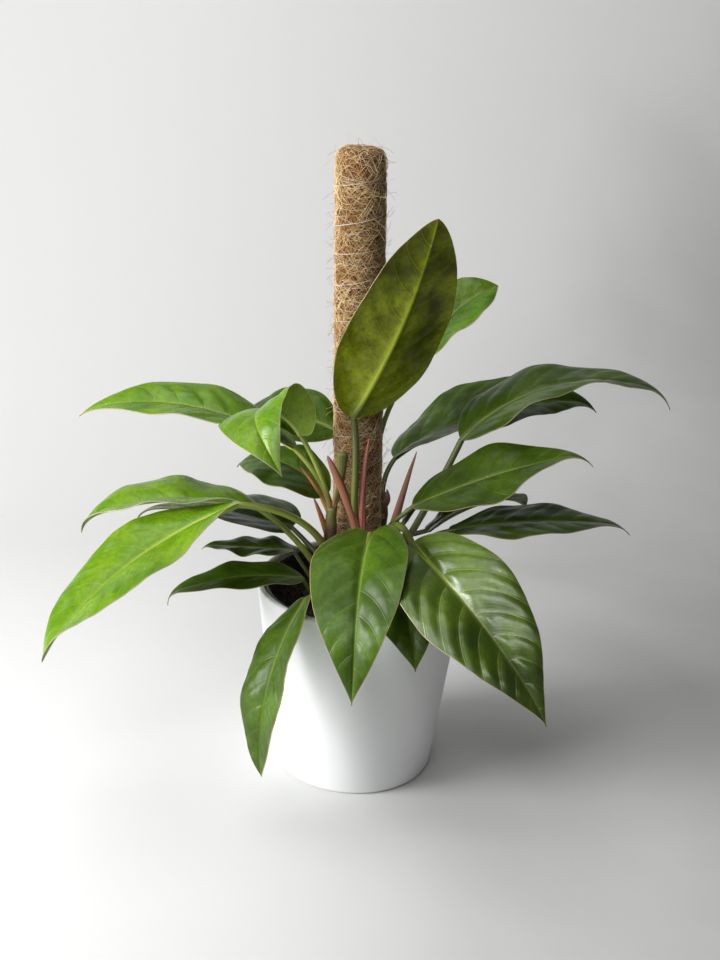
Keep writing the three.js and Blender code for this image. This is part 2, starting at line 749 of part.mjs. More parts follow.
// The crown grows in order: each new sheath or stalk is notched round those already in place.
const guards = STEMS.map((stem) => stemSolid(stem, GAP));

function addGrown(name, solid, guard, material) {
  const notched = guards.reduce((left, placed) => left.subtract(placed), solid);
  addPiece(name, largestBody(notched), material);
  guards.push(guard);
}

const coirHoleRadius = COIR.radius + 2 * COIR.lump + GAP;
const poleHoles = [
  poleStretch(0, COIR.from + 1, CORE.radius + GAP, CORE.sides),
  poleStretch(COIR.from - GAP, POLE.top, coirHoleRadius, COIR.sides),
];

addPiece("cover_pot", potSolid(), "pot");
addPiece("nursery_pot", linerSolid(), "plastic");
addPiece("soil", soilSolid([...poleHoles, ...guards]), "soil");
addPiece("pole_core", poleStretch(linerFloor + GAP, CORE.top, CORE.radius, CORE.sides), "wood");
addPiece("coir_sleeve", coirSolid(), "coir");
addPiece("binding_thread", threadSolid(), "thread");
for (const stem of STEMS) addPiece(stem.name, stemSolid(stem), "stem");
for (const spear of SPEARS) {
  addGrown(spear.name, spearSolid(spear), spearSolid(spear, GAP), "sheath");
}
for (const leaf of LEAVES) {
  addGrown(leaf.name, bladeSolid(leaf).add(stalkSolid(leaf)), stalkSolid(leaf, GAP), "leaf");
}

export default plant;
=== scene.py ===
# %% [markdown]
# # A potted philodendron on a coir pole
# This lesson dresses a packed plant model for a studio picture. Nearly every one is replaced by a
# finer piece of the same form, with veins, fibres, crumbs and a finish of its own. Sizes are
# written in millimetres and turned to metres when a mesh is made.

# %% Load the frame
import math
from dataclasses import dataclass

import bpy
import numpy as np
from mathutils import Matrix, Vector


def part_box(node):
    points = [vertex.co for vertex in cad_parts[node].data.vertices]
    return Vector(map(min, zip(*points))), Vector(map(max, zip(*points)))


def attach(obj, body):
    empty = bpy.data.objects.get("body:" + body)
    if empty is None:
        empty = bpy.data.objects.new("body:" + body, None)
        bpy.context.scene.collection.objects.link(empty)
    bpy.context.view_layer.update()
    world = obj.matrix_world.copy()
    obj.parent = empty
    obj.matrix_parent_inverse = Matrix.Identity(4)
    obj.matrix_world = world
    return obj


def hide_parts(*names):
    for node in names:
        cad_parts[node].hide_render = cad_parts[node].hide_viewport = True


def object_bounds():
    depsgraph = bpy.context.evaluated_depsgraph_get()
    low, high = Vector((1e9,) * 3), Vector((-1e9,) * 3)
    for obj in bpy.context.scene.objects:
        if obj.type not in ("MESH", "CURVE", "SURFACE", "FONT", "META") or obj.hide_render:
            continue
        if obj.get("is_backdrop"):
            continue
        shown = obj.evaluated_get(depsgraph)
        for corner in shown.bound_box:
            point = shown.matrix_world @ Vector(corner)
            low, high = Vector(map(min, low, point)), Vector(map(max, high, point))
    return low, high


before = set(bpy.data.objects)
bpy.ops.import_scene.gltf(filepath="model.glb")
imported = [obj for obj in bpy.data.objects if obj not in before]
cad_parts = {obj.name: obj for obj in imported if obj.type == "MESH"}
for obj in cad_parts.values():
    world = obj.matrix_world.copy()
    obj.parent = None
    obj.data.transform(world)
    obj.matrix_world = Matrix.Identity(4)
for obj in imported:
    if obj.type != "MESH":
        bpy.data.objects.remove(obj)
cad_low, cad_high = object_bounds()
MM = 0.001
print("CAD box in mm:", [round(side / MM) for side in cad_high - cad_low])

# %% [markdown]
# ## The camera
# The photograph looks down on the plant from a little over a metre away, and is turned slightly
# clockwise. The camera could be aimed with a constraint, but its place was worked out from the
# pot's rim and foot, so its axes are written straight into its matrix: right, up and backwards.
# A 50 mm lens on a 36 mm sensor gives the photograph's perspective.

# %% Camera
CAMERA_PLACE = Vector((-6.0, -1227.0, 780.5)) * MM
CAMERA_PITCH = math.radians(20.98)
CAMERA_ROLL = math.radians(2.757)

forward = Vector((0, math.cos(CAMERA_PITCH), -math.sin(CAMERA_PITCH)))
level_right = Vector((1, 0, 0))
level_up = level_right.cross(forward)
camera_right = math.cos(CAMERA_ROLL) * level_right + math.sin(CAMERA_ROLL) * level_up
camera_up = math.cos(CAMERA_ROLL) * level_up - math.sin(CAMERA_ROLL) * level_right

lens = bpy.data.cameras.new("studio_camera")
lens.lens = 50
lens.sensor_width = 36
lens.clip_end = 20
camera = bpy.data.objects.new("studio_camera", lens)
turn = Matrix((camera_right, camera_up, -forward)).transposed().to_4x4()
camera.matrix_world = Matrix.Translation(CAMERA_PLACE) @ turn
scene = bpy.context.scene
scene.collection.objects.link(camera)
scene.camera = camera
print("camera", round((CAMERA_PLACE.length) / MM), "mm from the pot's foot")

# %% [markdown]
# ## Helpers for node trees and colours
# Colours are picked as sRGB hex values, the way a painter's chart gives them, while Blender's
# sockets want linear light, so one function turns them. A small class holds a tree and adds its
# nodes. A table gives short names to the few that recur, which keeps each tree short to read.

# %% Node and colour helpers
# What the short names stand for: a node's type, its settings, the inputs that values fill in
# order, and the output that is used. A Mix node for colours has its factor at 0, its two
# colours at 6 and 7, and its result at 2.
RANGE = ("Value", "From Min", "From Max", "To Min", "To Max")
SHORT_NAMES = {
    "blend": ("ShaderNodeMix", {"data_type": "RGBA"}, (0, 6, 7), 2),
    "ramp": ("ShaderNodeMapRange", {"interpolation_type": "SMOOTHSTEP"}, RANGE, "Result"),
    "slope": ("ShaderNodeMapRange", {"interpolation_type": "LINEAR"}, RANGE, "Result"),
    "noise": ("ShaderNodeTexNoise", {}, ("Vector", "Scale", "Detail", "Roughness", "Distortion"), "Fac"),
    "place": ("ShaderNodeTexCoord", {}, (), "Object"),
    "held": ("ShaderNodeAttribute", {}, (), "Fac"),
    "x": ("ShaderNodeSeparateXYZ", {}, ("Vector",), "X"),
    "z": ("ShaderNodeSeparateXYZ", {}, ("Vector",), "Z"),
}


def linear(hex_colour):
    """An sRGB hex value as linear red, green, blue and a full alpha."""
    channels = [int(hex_colour[i : i + 2], 16) / 255 for i in (1, 3, 5)]
    return [c / 12.92 if c <= 0.04045 else ((c + 0.055) / 1.055) ** 2.4 for c in channels] + [1.0]


class Wiring:
    """A node tree with one way to add a node, and short names for the nodes that recur."""

    def __init__(self, tree):
        self.tree = tree
        self.shader = tree.nodes.get("Principled BSDF")

    def add(self, kind, inputs=None, **settings):
        """One node. Settings name its properties, and inputs give a value or a socket for each."""
        node = self.tree.nodes.new(kind)
        for name, value in settings.items():
            setattr(node, name, value)
        for key, value in (inputs or {}).items():
            if isinstance(value, bpy.types.NodeSocket):
                self.tree.links.new(value, node.inputs[key])
            else:
                node.inputs[key].default_value = value
        return node

    def __call__(self, name, *values, **settings):
        """The output of a new node, from its short name and its inputs in order. A name that the
        table doesn't hold is an arithmetic operation."""
        step = ("ShaderNodeMath", {"operation": name}, (0, 1, 2), 0)
        kind, fixed, order, output = SHORT_NAMES.get(name, step)
        values = [linear(value) if isinstance(value, str) else value for value in values]
        return self.add(kind, dict(zip(order, values)), **fixed, **settings).outputs[output]

    def paint(self, colour, height=None, strength=0.0, distance=0.0):
        """Gives the shader its colour and, from a height, its bump."""
        self.tree.links.new(colour, self.shader.inputs["Base Color"])
        if height is not None:
            inputs = {"Height": height, "Strength": strength, "Distance": distance}
            bump = self.add("ShaderNodeBump", inputs).outputs["Normal"]
            self.tree.links.new(bump, self.shader.inputs["Normal"])


def new_material(name, **shader_values):
    """A material with one Principled shader, whose constant values are set on its own sockets."""
    material = bpy.data.materials.new(name)
    material.use_nodes = True
    wiring = Wiring(material.node_tree)
    for socket, value in shader_values.items():
        wiring.shader.inputs[socket.replace("_", " ")].default_value = value
    return material, wiring


print("white in linear light:", linear("#ffffff"))

# %% [markdown]
# ## Helpers for meshes
# Every shape here is a grid of points that a formula places, so one function turns points in
# millimetres and faces into a mesh in metres. Another rides it on the plant's only body and hides
# the solids that it replaces. A closed shape is turned right side out by its signed volume, which
# is surer than looking at it.

# %% Mesh helpers
def new_piece(name, points, faces, materials, material_of_face=None, attributes=None, smooth=True):
    """A mesh object from points in mm. Attributes are one number for each point, by name."""
    mesh = bpy.data.meshes.new(name)
    mesh.from_pydata((np.asarray(points) * MM).tolist(), [], faces)
    for material in materials:
        mesh.materials.append(material)
    if material_of_face is not None:
        mesh.polygons.foreach_set("material_index", material_of_face)
    for label, values in (attributes or {}).items():
        layer = mesh.attributes.new(label, "FLOAT", "POINT")
        layer.data.foreach_set("value", np.asarray(values, np.float32).ravel())
    mesh.polygons.foreach_set("use_smooth", [smooth] * len(mesh.polygons))
    mesh.update()
    piece = bpy.data.objects.new(name, mesh)
    scene.collection.objects.link(piece)
    return piece


def hand_over(piece, slot, *nodes):
    """The piece rides on the plant and hides the CAD nodes it stands for. The slot is not used."""
    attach(piece, "root")
    if nodes:
        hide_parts(*nodes)
    print(piece.name, "has", len(piece.data.polygons), "faces")


def outward(points, faces):
    """The faces of a closed shape, turned round if they point inwards."""
    points = np.asarray(points, float)
    volume = 0.0
    for face in faces:
        first = points[face[0]]
        for a, b in zip(face[1:], face[2:]):
            volume += np.dot(first, np.cross(points[a], points[b]))
    return faces if volume > 0 else [face[::-1] for face in faces]


def tube_faces(rings, sides, first=0):
    """Quads between rings of equal count, and a fan of one face at each end."""
    faces = []
    for i in range(rings - 1):
        for j in range(sides):
            a, b = first + i * sides + j, first + i * sides + (j + 1) % sides
            faces.append((a, b, b + sides, a + sides))
    last = first + (rings - 1) * sides
    faces.append(tuple(range(first + sides - 1, first - 1, -1)))
    faces.append(tuple(range(last, last + sides)))
    return faces


def full_circle(count):
    """Evenly spaced angles, once round."""
    return np.linspace(0, 2 * math.pi, count, endpoint=False)


def between(ends, share):
    """The value at a share of the way from one end to the other."""
    return ends[0] + (ends[1] - ends[0]) * share


def unit(vectors):
    """Each vector of an array at length one."""
    return vectors / np.linalg.norm(vectors, axis=-1, keepdims=True)


def beside(centres, across, up, x, y):
    """A grid of points: the centre of each row, moved by x across and by y up."""
    return centres[:, None, :] + across[:, None, :] * x[..., None] + up[:, None, :] * y[..., None]


def turned(profile, segments):
    """A closed round shape from (radius, height) pairs that start and end on the axis, at radius 0."""
    angles = full_circle(segments)
    rings = [
        np.stack([r * np.cos(angles), r * np.sin(angles), np.full(segments, float(z))], -1)
        for r, z in profile[1:-1]
    ]
    points = np.concatenate([*rings, [[0, 0, profile[0][1]], [0, 0, profile[-1][1]]]])
    faces = tube_faces(len(rings), segments)[:-2]
    foot, head = len(points) - 2, len(points) - 1
    top_ring = (len(rings) - 1) * segments
    for j in range(segments):
        k = (j + 1) % segments
        faces.append((foot, k, j))
        faces.append((head, top_ring + j, top_ring + k))
    return points, outward(points, faces)


def arc(centre, radius, start, end, steps):
    """(radius, height) points of an arc in a profile, with its angles in degrees."""
    angles = np.radians(np.linspace(start, end, steps + 1))
    return [(centre[0] + radius * math.cos(a), centre[1] + radius * math.sin(a)) for a in angles]


def ripple(points, size, seed, count=6):
    """Smooth noise from -1 to 1 at each point: a few plane waves about size mm long, in seeded
    directions."""
    random = np.random.default_rng(seed)
    total = np.zeros(points.shape[:-1])
    for _ in range(count):
        direction = random.normal(size=3)
        direction /= np.linalg.norm(direction)
        length = size * random.uniform(0.7, 1.4)
        total += np.sin(2 * math.pi * (points @ direction) / length + random.uniform(0, 6.28))
    return total / math.sqrt(count / 2) / 2


print("mesh helpers ready")

# %% [markdown]
# ## The room
# The plant stands on a seamless sweep of pale paper: floor, bend and wall in one sheet, so there
# is no horizon line. A sheet with a bend is a short list of profile points, pulled out sideways.

# %% Paper sweep
FLOOR_FRONT, BEND_START, BEND_RADIUS, WALL_TOP, SWEEP_HALF = -2600, 500, 900, 3400, 3200

bend_angles = np.radians(np.linspace(-90, 0, 25))
sweep_line = [(FLOOR_FRONT, 0)]
sweep_line += [
    (BEND_START + BEND_RADIUS * math.cos(a), BEND_RADIUS * (1 + math.sin(a))) for a in bend_angles
]
sweep_line.append((BEND_START + BEND_RADIUS, WALL_TOP))
sweep_points = [(x, y, z) for x in (-SWEEP_HALF, SWEEP_HALF) for y, z in sweep_line]
row = len(sweep_line)
sweep_faces = [(i, row + i, row + i + 1, i + 1) for i in range(row - 1)]

# The paper's grey is painted shade: soft clouds of painted shadow, and a grey that deepens towards
# the right of the floor and bend and lifts up the wall, where the window's light falls off.
SHADE_CLOUD, SHADE_CLOUD_SHARE, SHADE_RISE = 1.9, 0.9, -0.8
paper, nodes = new_material("backdrop_paper", Roughness=0.85, Specular_IOR_Level=0.25)
place = nodes("place")
shade_clouds = nodes("noise", place, SHADE_CLOUD, 4, 0.5, 0.6)
painted_shade = nodes("MULTIPLY_ADD", shade_clouds, SHADE_CLOUD_SHARE, nodes("x", place))
painted_shade = nodes("MULTIPLY_ADD", nodes("z", place), SHADE_RISE, painted_shade)
# Painted shade: the pale paper blended to a darker grey by the shade mask above.
nodes.paint(nodes("blend", nodes("ramp", painted_shade, 0.3, 1.15), "#e2e2e1", "#bebebd"))
sweep = new_piece("paper_sweep", sweep_points, sweep_faces, [paper])
sweep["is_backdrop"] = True
print("the paper is", 2 * SWEEP_HALF, "mm wide")

# %% [markdown]
# ## The light
# In the photograph a large soft window stands to the left, a little in front and above. It makes
# the left leaves glow, leaves the pole's right side nearly black, and fades along the paper.
# A big area lamp does that, because its light falls off with distance as a window's does. The
# white ceiling sends some of it down on the left, and a smaller patch above the camera gives
# the front leaves a little of their light. A pale card above and behind the camera, which only
# the gloss shows, gives the front right leaf its sheen. The room's own light is a dim even grey.

# %% Lamps
def soft_lamp(name, place, target, size, watts):
    """A rectangular area lamp, placed and aimed in mm."""
    lamp = bpy.data.lights.new(name, "AREA")
    lamp.shape = "RECTANGLE"
    lamp.size, lamp.size_y = size[0] * MM, size[1] * MM
    lamp.energy = watts
    holder = bpy.data.objects.new(name, lamp)
    holder.location = Vector(place) * MM
    aim = Vector(target) - Vector(place)
    holder.rotation_mode = "QUATERNION"
    holder.rotation_quaternion = aim.to_track_quat("-Z", "Y")
    scene.collection.objects.link(holder)
    print(name, "throws", watts, "W from", place)
    return holder


soft_lamp("window_light", (-1500, -650, 720), (0, 0, 300), (900, 800), 43)
soft_lamp("ceiling_light", (-650, -120, 2300), (-300, 0, 0), (1500, 1500), 16)
soft_lamp("front_light", (-420, -1420, 1650), (60, -100, 250), (800, 420), 7)
sheen = soft_lamp("sheen_light", (-40, -1800, 1430), (100, -130, 230), (2400, 1000), 27)
sheen.visible_diffuse = False

world = bpy.data.worlds.new("studio_room")
world.use_nodes = True
room_light = world.node_tree.nodes["Background"]
room_light.inputs["Color"].default_value = linear("#eef0f2")
room_light.inputs["Strength"].default_value = 0.06
scene.world = world
scene.view_settings.view_transform = "Standard"
scene.view_settings.look = "None"

# %% [markdown]
# ## The cover pot
# The real pot is slip-cast earthenware under a satin white glaze. Its wall is a few millimetres
# thick and ends in a round lip. A pot is a shape of revolution: its half section is drawn once,
# as arcs and straight walls, and turned round the axis. The sizes come from the frame's box, so
# the fine pot has exactly the solid's size. The mouth's inner wall runs down to the pot's floor.

# %% Satin glaze
# A satin glaze scatters more than a gloss one: a soft, wide highlight over a clean body colour,
# with the faint orange peel that a sprayed glaze dries to.
GLAZE_CLOUD, GLAZE_PEEL = 60, 3.5
glaze, nodes = new_material(
    "satin_glaze", Roughness=0.36, IOR=1.5, Coat_Weight=0.12, Coat_Roughness=0.22
)
cloud = nodes("noise", nodes("place"), 1 / (GLAZE_CLOUD * MM), 4)
gloss = nodes("slope", cloud, 0.0, 1.0, 0.3, 0.42)
nodes.tree.links.new(gloss, nodes.shader.inputs["Roughness"])
peel = nodes("noise", nodes("place"), 1 / (GLAZE_PEEL * MM))
nodes.paint(nodes("blend", cloud, "#edeeee", "#e6e8e9"), peel, 0.12, 0.3 * MM)
print("glaze peel is drawn", GLAZE_PEEL, "mm across")

# %% Turn the cover pot
pot_box = [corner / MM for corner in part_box("cover_pot")]
POT_RIM, POT_HEIGHT = pot_box[1].x, pot_box[1].z
POT_FOOT, POT_WALL, POT_FLOOR, FOOT_ROUND = 82, 5.4, 8, 5
LIP = POT_WALL / 2

pot_profile = [(0, 0)]
pot_profile += arc((POT_FOOT - FOOT_ROUND, FOOT_ROUND), FOOT_ROUND, -90, -6, 8)
pot_profile += arc((POT_RIM - LIP, POT_HEIGHT - LIP), LIP, -6, 186, 14)
pot_profile += arc((POT_FOOT - POT_WALL - FOOT_ROUND, POT_FLOOR + FOOT_ROUND), FOOT_ROUND, -6, -90, 6)
pot_profile.append((0, POT_FLOOR))
pot_points, pot_faces = turned(pot_profile, 192)
cover_pot = new_piece("glazed_pot", pot_points, pot_faces, [glaze])
hand_over(cover_pot, "pot_glaze", "cover_pot")

# %% [markdown]
# ## The nursery pot
# Inside stands the pot that the plant was grown in: thin black polypropylene, blown in a mould,
# with a rolled lip and holes in its floor. It is turned from a thin half section in the same
# way, and the holes are cut with cylinders, as the mould's pins leave them.

# %% Moulded plastic
# Blow-moulded polypropylene is nearly black with a dull grey sheen, and fine rings from the mould.
MOULD_RING = 1.6
plastic, nodes = new_material("moulded_plastic", Roughness=0.5, IOR=1.49)
rings = nodes("PINGPONG", nodes("z", nodes("place")), MOULD_RING * MM)
nodes.paint(nodes("blend", nodes("noise", nodes("place"), 90, 6), "#1d1d1c", "#3a3833"), rings, 0.5, 1.0)
print("mould rings every", MOULD_RING, "mm")

# %% Turn the nursery pot and cut its holes
liner_box = [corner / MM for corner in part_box("nursery_pot")]
LINER_FOOT, LINER_TOP = liner_box[0].z, liner_box[1].z
LINER_RADII = (72, 96)
LINER_WALL, LINER_BEVEL, LINER_LIP, LIP_HEIGHT = 1.6, 2, 2.2, 9
OUTER_ROUND, INNER_ROUND = 0.7, 0.5
HOLE_COUNT, HOLE_CIRCLE, HOLE_RADIUS = 6, 50, 5


def liner_radius(height):
    """Outer radius of the nursery pot's wall, above its foot."""
    share = (height - LINER_FOOT) / (LINER_TOP - LINER_FOOT)
    return between(LINER_RADII, share)


lip_foot = LINER_TOP - LIP_HEIGHT
liner_floor = LINER_FOOT + LINER_WALL
lip_outer = liner_radius(LINER_TOP) + LINER_LIP
lip_inner = liner_radius(LINER_TOP) - LINER_WALL
liner_profile = [
    (0, LINER_FOOT),
    (LINER_RADII[0] - LINER_BEVEL, LINER_FOOT),
    (LINER_RADII[0], LINER_FOOT + LINER_BEVEL),
    (liner_radius(lip_foot), lip_foot),
    (liner_radius(lip_foot) + LINER_LIP, lip_foot + LINER_LIP / 2),
    *arc((lip_outer - OUTER_ROUND, LINER_TOP - OUTER_ROUND), OUTER_ROUND, 0, 90, 4),
    *arc((lip_inner + INNER_ROUND, LINER_TOP - INNER_ROUND), INNER_ROUND, 90, 180, 4),
    (liner_radius(lip_foot) - LINER_WALL, lip_foot),
    (liner_radius(liner_floor + LINER_BEVEL) - LINER_WALL, liner_floor + LINER_BEVEL),
    (LINER_RADII[0] - 2 * LINER_BEVEL, liner_floor),
    (0, liner_floor),
]
liner_points, liner_faces = turned(liner_profile, 144)
nursery_pot = new_piece("grower_pot", liner_points, liner_faces, [plastic], smooth=False)


def keep_result(piece):
    """Makes what a piece's modifiers show into its own plain mesh."""
    evaluated = piece.evaluated_get(bpy.context.evaluated_depsgraph_get())
    result = bpy.data.meshes.new_from_object(evaluated)
    piece.modifiers.clear()
    piece.data = result


def cut(piece, cutters):
    """Cuts closed shapes out of a piece with a Boolean, and removes them."""
    for cutter in cutters:
        knife = piece.modifiers.new("cut", "BOOLEAN")
        knife.operation = "DIFFERENCE"
        knife.solver = "EXACT"
        knife.object = cutter
    keep_result(piece)
    for cutter in cutters:
        bpy.data.objects.remove(cutter)


def post(name, foot, head, radius, sides=32):
    """A closed cylinder between two points in mm, to cut with."""
    angles = full_circle(sides)
    ring = np.stack([radius * np.cos(angles), radius * np.sin(angles), np.zeros(sides)], -1)
    points = np.concatenate([ring + np.array(foot), ring + np.array(head)])
    return new_piece(name, points, outward(points, tube_faces(2, sides)), [])


hole_pins = []
for i in range(HOLE_COUNT):
    angle = 2 * math.pi * i / HOLE_COUNT
    x, y = HOLE_CIRCLE * math.cos(angle), HOLE_CIRCLE * math.sin(angle)
    hole_pins.append(post(f"hole_pin_{i}", (x, y, LINER_FOOT - 4), (x, y, liner_floor + 4), HOLE_RADIUS))
cut(nursery_pot, hole_pins)
hand_over(nursery_pot, "nursery_plastic", "nursery_pot")

# %% [markdown]
# ## The pole's route
# The coir pole leans slightly to the left. Everything on it follows the same axis, so the axis is
# one small function of the height.

# %% Pole axis
POLE_FOOT_X, POLE_LEAN = 2.0, -0.034
COIR_RADIUS, COIR_FOOT, COIR_TOP = 22.7, 100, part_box("coir_sleeve")[1].z / MM
DOME_HEIGHT, DOME_FLAT = 12, 0.55
CORE_RADIUS, CORE_TOP = 11, 600
SHOULDER = 618


def pole_axis(height):
    """The x of the pole's axis at a height."""
    return POLE_FOOT_X + POLE_LEAN * np.asarray(height)


print("the pole leans", round(POLE_LEAN * COIR_TOP), "mm at its top")

# %% [markdown]
# ## The stems' places
# Four short stems stand in the soil round the pole. Each is a straight line from its foot to its
# head, with a radius at both ends. The soil needs their places for its holes, so they come first.

# %% Stem table
@dataclass
class Stem:
    name: str
    foot: tuple
    head: tuple
    radius: tuple


STEMS = [
    Stem("stem_left", (-36, -26, 138), (-32, -29, 292), (8, 5)),
    Stem("stem_front", (2, -42, 138), (0, -42, 263), (9, 7.5)),
    Stem("stem_right", (29, -10, 138), (26, -10, 259), (8, 6.5)),
    Stem("stem_back", (13, 27, 138), (18, 23, 288), (8, 5.5)),
]
print(len(STEMS), "stems")

# %% [markdown]
# ## The potting mix
# The mix is damp peat with bark in it: a dark, crumbly surface that takes nearly all the light.
# The body is a turned solid whose top is lifted by noise, with plain holes for the pole and the
# stems. The crumbs on it are far too many to place by hand, so a Geometry Nodes tree scatters
# them over a copy of the top.

# %% Damp peat and bark
# Damp peat is close to black and dull, with brown where it has dried. Bark chips are lighter.
def earth_material(name, dark, light, speck):
    """A crumbly material: two browns in a noise pattern about speck mm across."""
    material, nodes = new_material(name, Roughness=0.92)
    grain = nodes("noise", nodes("place"), 1 / (speck * MM), 8, 0.7)
    spread = nodes("slope", grain, 0.35, 0.72)
    nodes.paint(nodes("blend", spread, dark, light), grain, 0.9, 1.5 * MM)
    return material


peat = earth_material("damp_peat", "#0d0a08", "#33271d", 5)
bark = earth_material("bark_chip", "#2a1a10", "#6a4a30", 3)
print("earth materials:", peat.name, bark.name)

# %% The body of the mix
CLEARANCE = 0.3
SOIL_TOP, SOIL_CRUMB, CRUMB_RISE = 175, 2.2, 0.8
SOIL_GAP = LINER_WALL + CLEARANCE
soil_rim = liner_radius(SOIL_TOP) - SOIL_GAP
SOIL_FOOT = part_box("soil")[0].z / MM


def soil_lift(x, y):
    """How far the clods stand above or below the mean top."""
    coarse = np.sin(x / 9 + 1.3) * np.cos(y / 11 - 0.4)
    fine = np.sin(x / 4.1 - y / 5.3)
    place = np.stack([x, y, np.zeros_like(x)], -1)
    crumbs = ripple(place, 5, seed=11) + 0.6 * ripple(place, 2.4, seed=12)
    edge = np.clip((soil_rim - np.hypot(x, y)) / 4, 0, 1)
    return edge * (SOIL_CRUMB * (0.6 * coarse + 0.4 * fine) + CRUMB_RISE * crumbs)


soil_profile = [
    (0, SOIL_FOOT),
    (LINER_RADII[0] - 3 * LINER_BEVEL, SOIL_FOOT),
    (liner_radius(liner_floor + 3) - SOIL_GAP, liner_floor + 3),
    (soil_rim, SOIL_TOP),
]
soil_profile += [(soil_rim * share, SOIL_TOP) for share in np.linspace(1, 0, 46)[1:]]
soil_points, soil_faces = turned(soil_profile, 144)
on_top = soil_points[:, 2] > SOIL_TOP - 1
soil_points[on_top, 2] += soil_lift(soil_points[on_top, 0], soil_points[on_top, 1])
soil = new_piece("potting_mix", soil_points, soil_faces, [peat])


def pole_post(name, low, high, radius):
    """A cutting cylinder along the pole's axis."""
    return post(name, (pole_axis(low), 0, low), (pole_axis(high), 0, high), radius, 48)


stakes = [
    pole_post("core_post", 0, COIR_FOOT + 1, CORE_RADIUS + CLEARANCE),
    pole_post("coir_post", COIR_FOOT - CLEARANCE, 260, COIR_RADIUS + 2 * CLEARANCE),
]
for stem in STEMS:
    foot, head = np.array(stem.foot, float), np.array(stem.head, float)
    stakes.append(post("stake_" + stem.name, foot, head, max(stem.radius) + 2 * CLEARANCE))
cut(soil, stakes)
hand_over(soil, "potting_mix", "soil")

# %% [markdown]
# Crumbs: the tree takes the top as a surface, scatters points on it, puts a rough pebble on each,
# turns and sizes each one at random, and roughens them all with noise. The same tree makes the
# peat crumbs and the bark chips, from different numbers.

# %% Crumb tree
SOCKET_KINDS = {float: "NodeSocketFloat", int: "NodeSocketInt", type(None): "NodeSocketMaterial"}
FULL_TURN = 6.28


def new_tree(name, sockets):
    """An empty Geometry Nodes tree with inputs by name, each with its starting value."""
    tree = bpy.data.node_groups.new(name, "GeometryNodeTree")
    for side in ("OUTPUT", "INPUT"):
        tree.interface.new_socket(name="Geometry", in_out=side, socket_type="NodeSocketGeometry")
    for label, value in sockets.items():
        kind = SOCKET_KINDS[type(value)]
        socket = tree.interface.new_socket(name=label, in_out="INPUT", socket_type=kind)
        if value is not None:
            socket.default_value = value
    return Wiring(tree), tree.nodes.new("NodeGroupInput").outputs


def grow(piece, nodes, values):
    """Runs a tree on a piece with the given inputs and keeps its result as the piece's plain mesh."""
    modifier = piece.modifiers.new("grow", "NODES")
    modifier.node_group = nodes.tree
    for item in nodes.tree.interface.items_tree:
        if item.item_type == "SOCKET" and item.in_out == "INPUT" and item.name in values:
            modifier[item.identifier] = values[item.name]
    keep_result(piece)
    return piece


def end_tree(nodes, geometry, material):
    """Ends a tree: real geometry, its material, and the output."""
    real = nodes.add("GeometryNodeRealizeInstances", {"Geometry": geometry}).outputs[0]
    skinned = nodes.add("GeometryNodeSetMaterial", {"Geometry": real, "Material": material})
    nodes.add("NodeGroupOutput", {"Geometry": skinned.outputs[0]})


crumb_tree, crumb_in = new_tree(
    "scattered_crumbs",
    {
        "Spacing": 2 * MM,
        "Size": 1 * MM,
        "Flatness": 0.7,
        "Seed": 1,
        "Material": None,
    },
)
points = crumb_tree.add(
    "GeometryNodeDistributePointsOnFaces",
    {
        "Mesh": crumb_in["Geometry"],
        "Distance Min": crumb_in["Spacing"],
        "Density Max": 400000.0,
        "Seed": crumb_in["Seed"],
    },
    distribute_method="POISSON",
)
turns = {"Min": (0, 0, 0), "Max": (FULL_TURN,) * 3, "Seed": crumb_in["Seed"]}
turn = crumb_tree.add("FunctionNodeRandomValue", turns, data_type="FLOAT_VECTOR")
sizes = {2: 0.4, 3: 1.5, "Seed": crumb_in["Seed"]}
size = crumb_tree.add("FunctionNodeRandomValue", sizes, data_type="FLOAT")
pebble = crumb_tree.add("GeometryNodeMeshIcoSphere", {"Radius": crumb_in["Size"], "Subdivisions": 1})
flat = crumb_tree.add("ShaderNodeCombineXYZ", {"X": 1.0, "Y": 0.8, "Z": crumb_in["Flatness"]})
chip = crumb_tree.add(
    "GeometryNodeTransform", {"Geometry": pebble.outputs["Mesh"], "Scale": flat.outputs["Vector"]}
)
placed = crumb_tree.add(
    "GeometryNodeInstanceOnPoints",
    {
        "Points": points.outputs["Points"],
        "Instance": chip.outputs["Geometry"],
        "Rotation": turn.outputs[0],
        "Scale": size.outputs[1],
    },
)
real = crumb_tree.add("GeometryNodeRealizeInstances", {"Geometry": placed.outputs["Instances"]})
push = crumb_tree.add("ShaderNodeTexNoise", {"Scale": 700.0, "Detail": 1}).outputs["Color"]
push = crumb_tree.add("ShaderNodeVectorMath", {0: push, 1: (0.5, 0.5, 0.5)}, operation="SUBTRACT")
push = crumb_tree.add(
    "ShaderNodeVectorMath", {0: push.outputs["Vector"], "Scale": crumb_in["Size"]}, operation="SCALE"
)
rough = crumb_tree.add(
    "GeometryNodeSetPosition",
    {"Geometry": real.outputs["Geometry"], "Offset": push.outputs["Vector"]},
)
end_tree(crumb_tree, rough.outputs["Geometry"], crumb_in["Material"])
print("crumb tree has", len(crumb_tree.tree.nodes), "nodes")

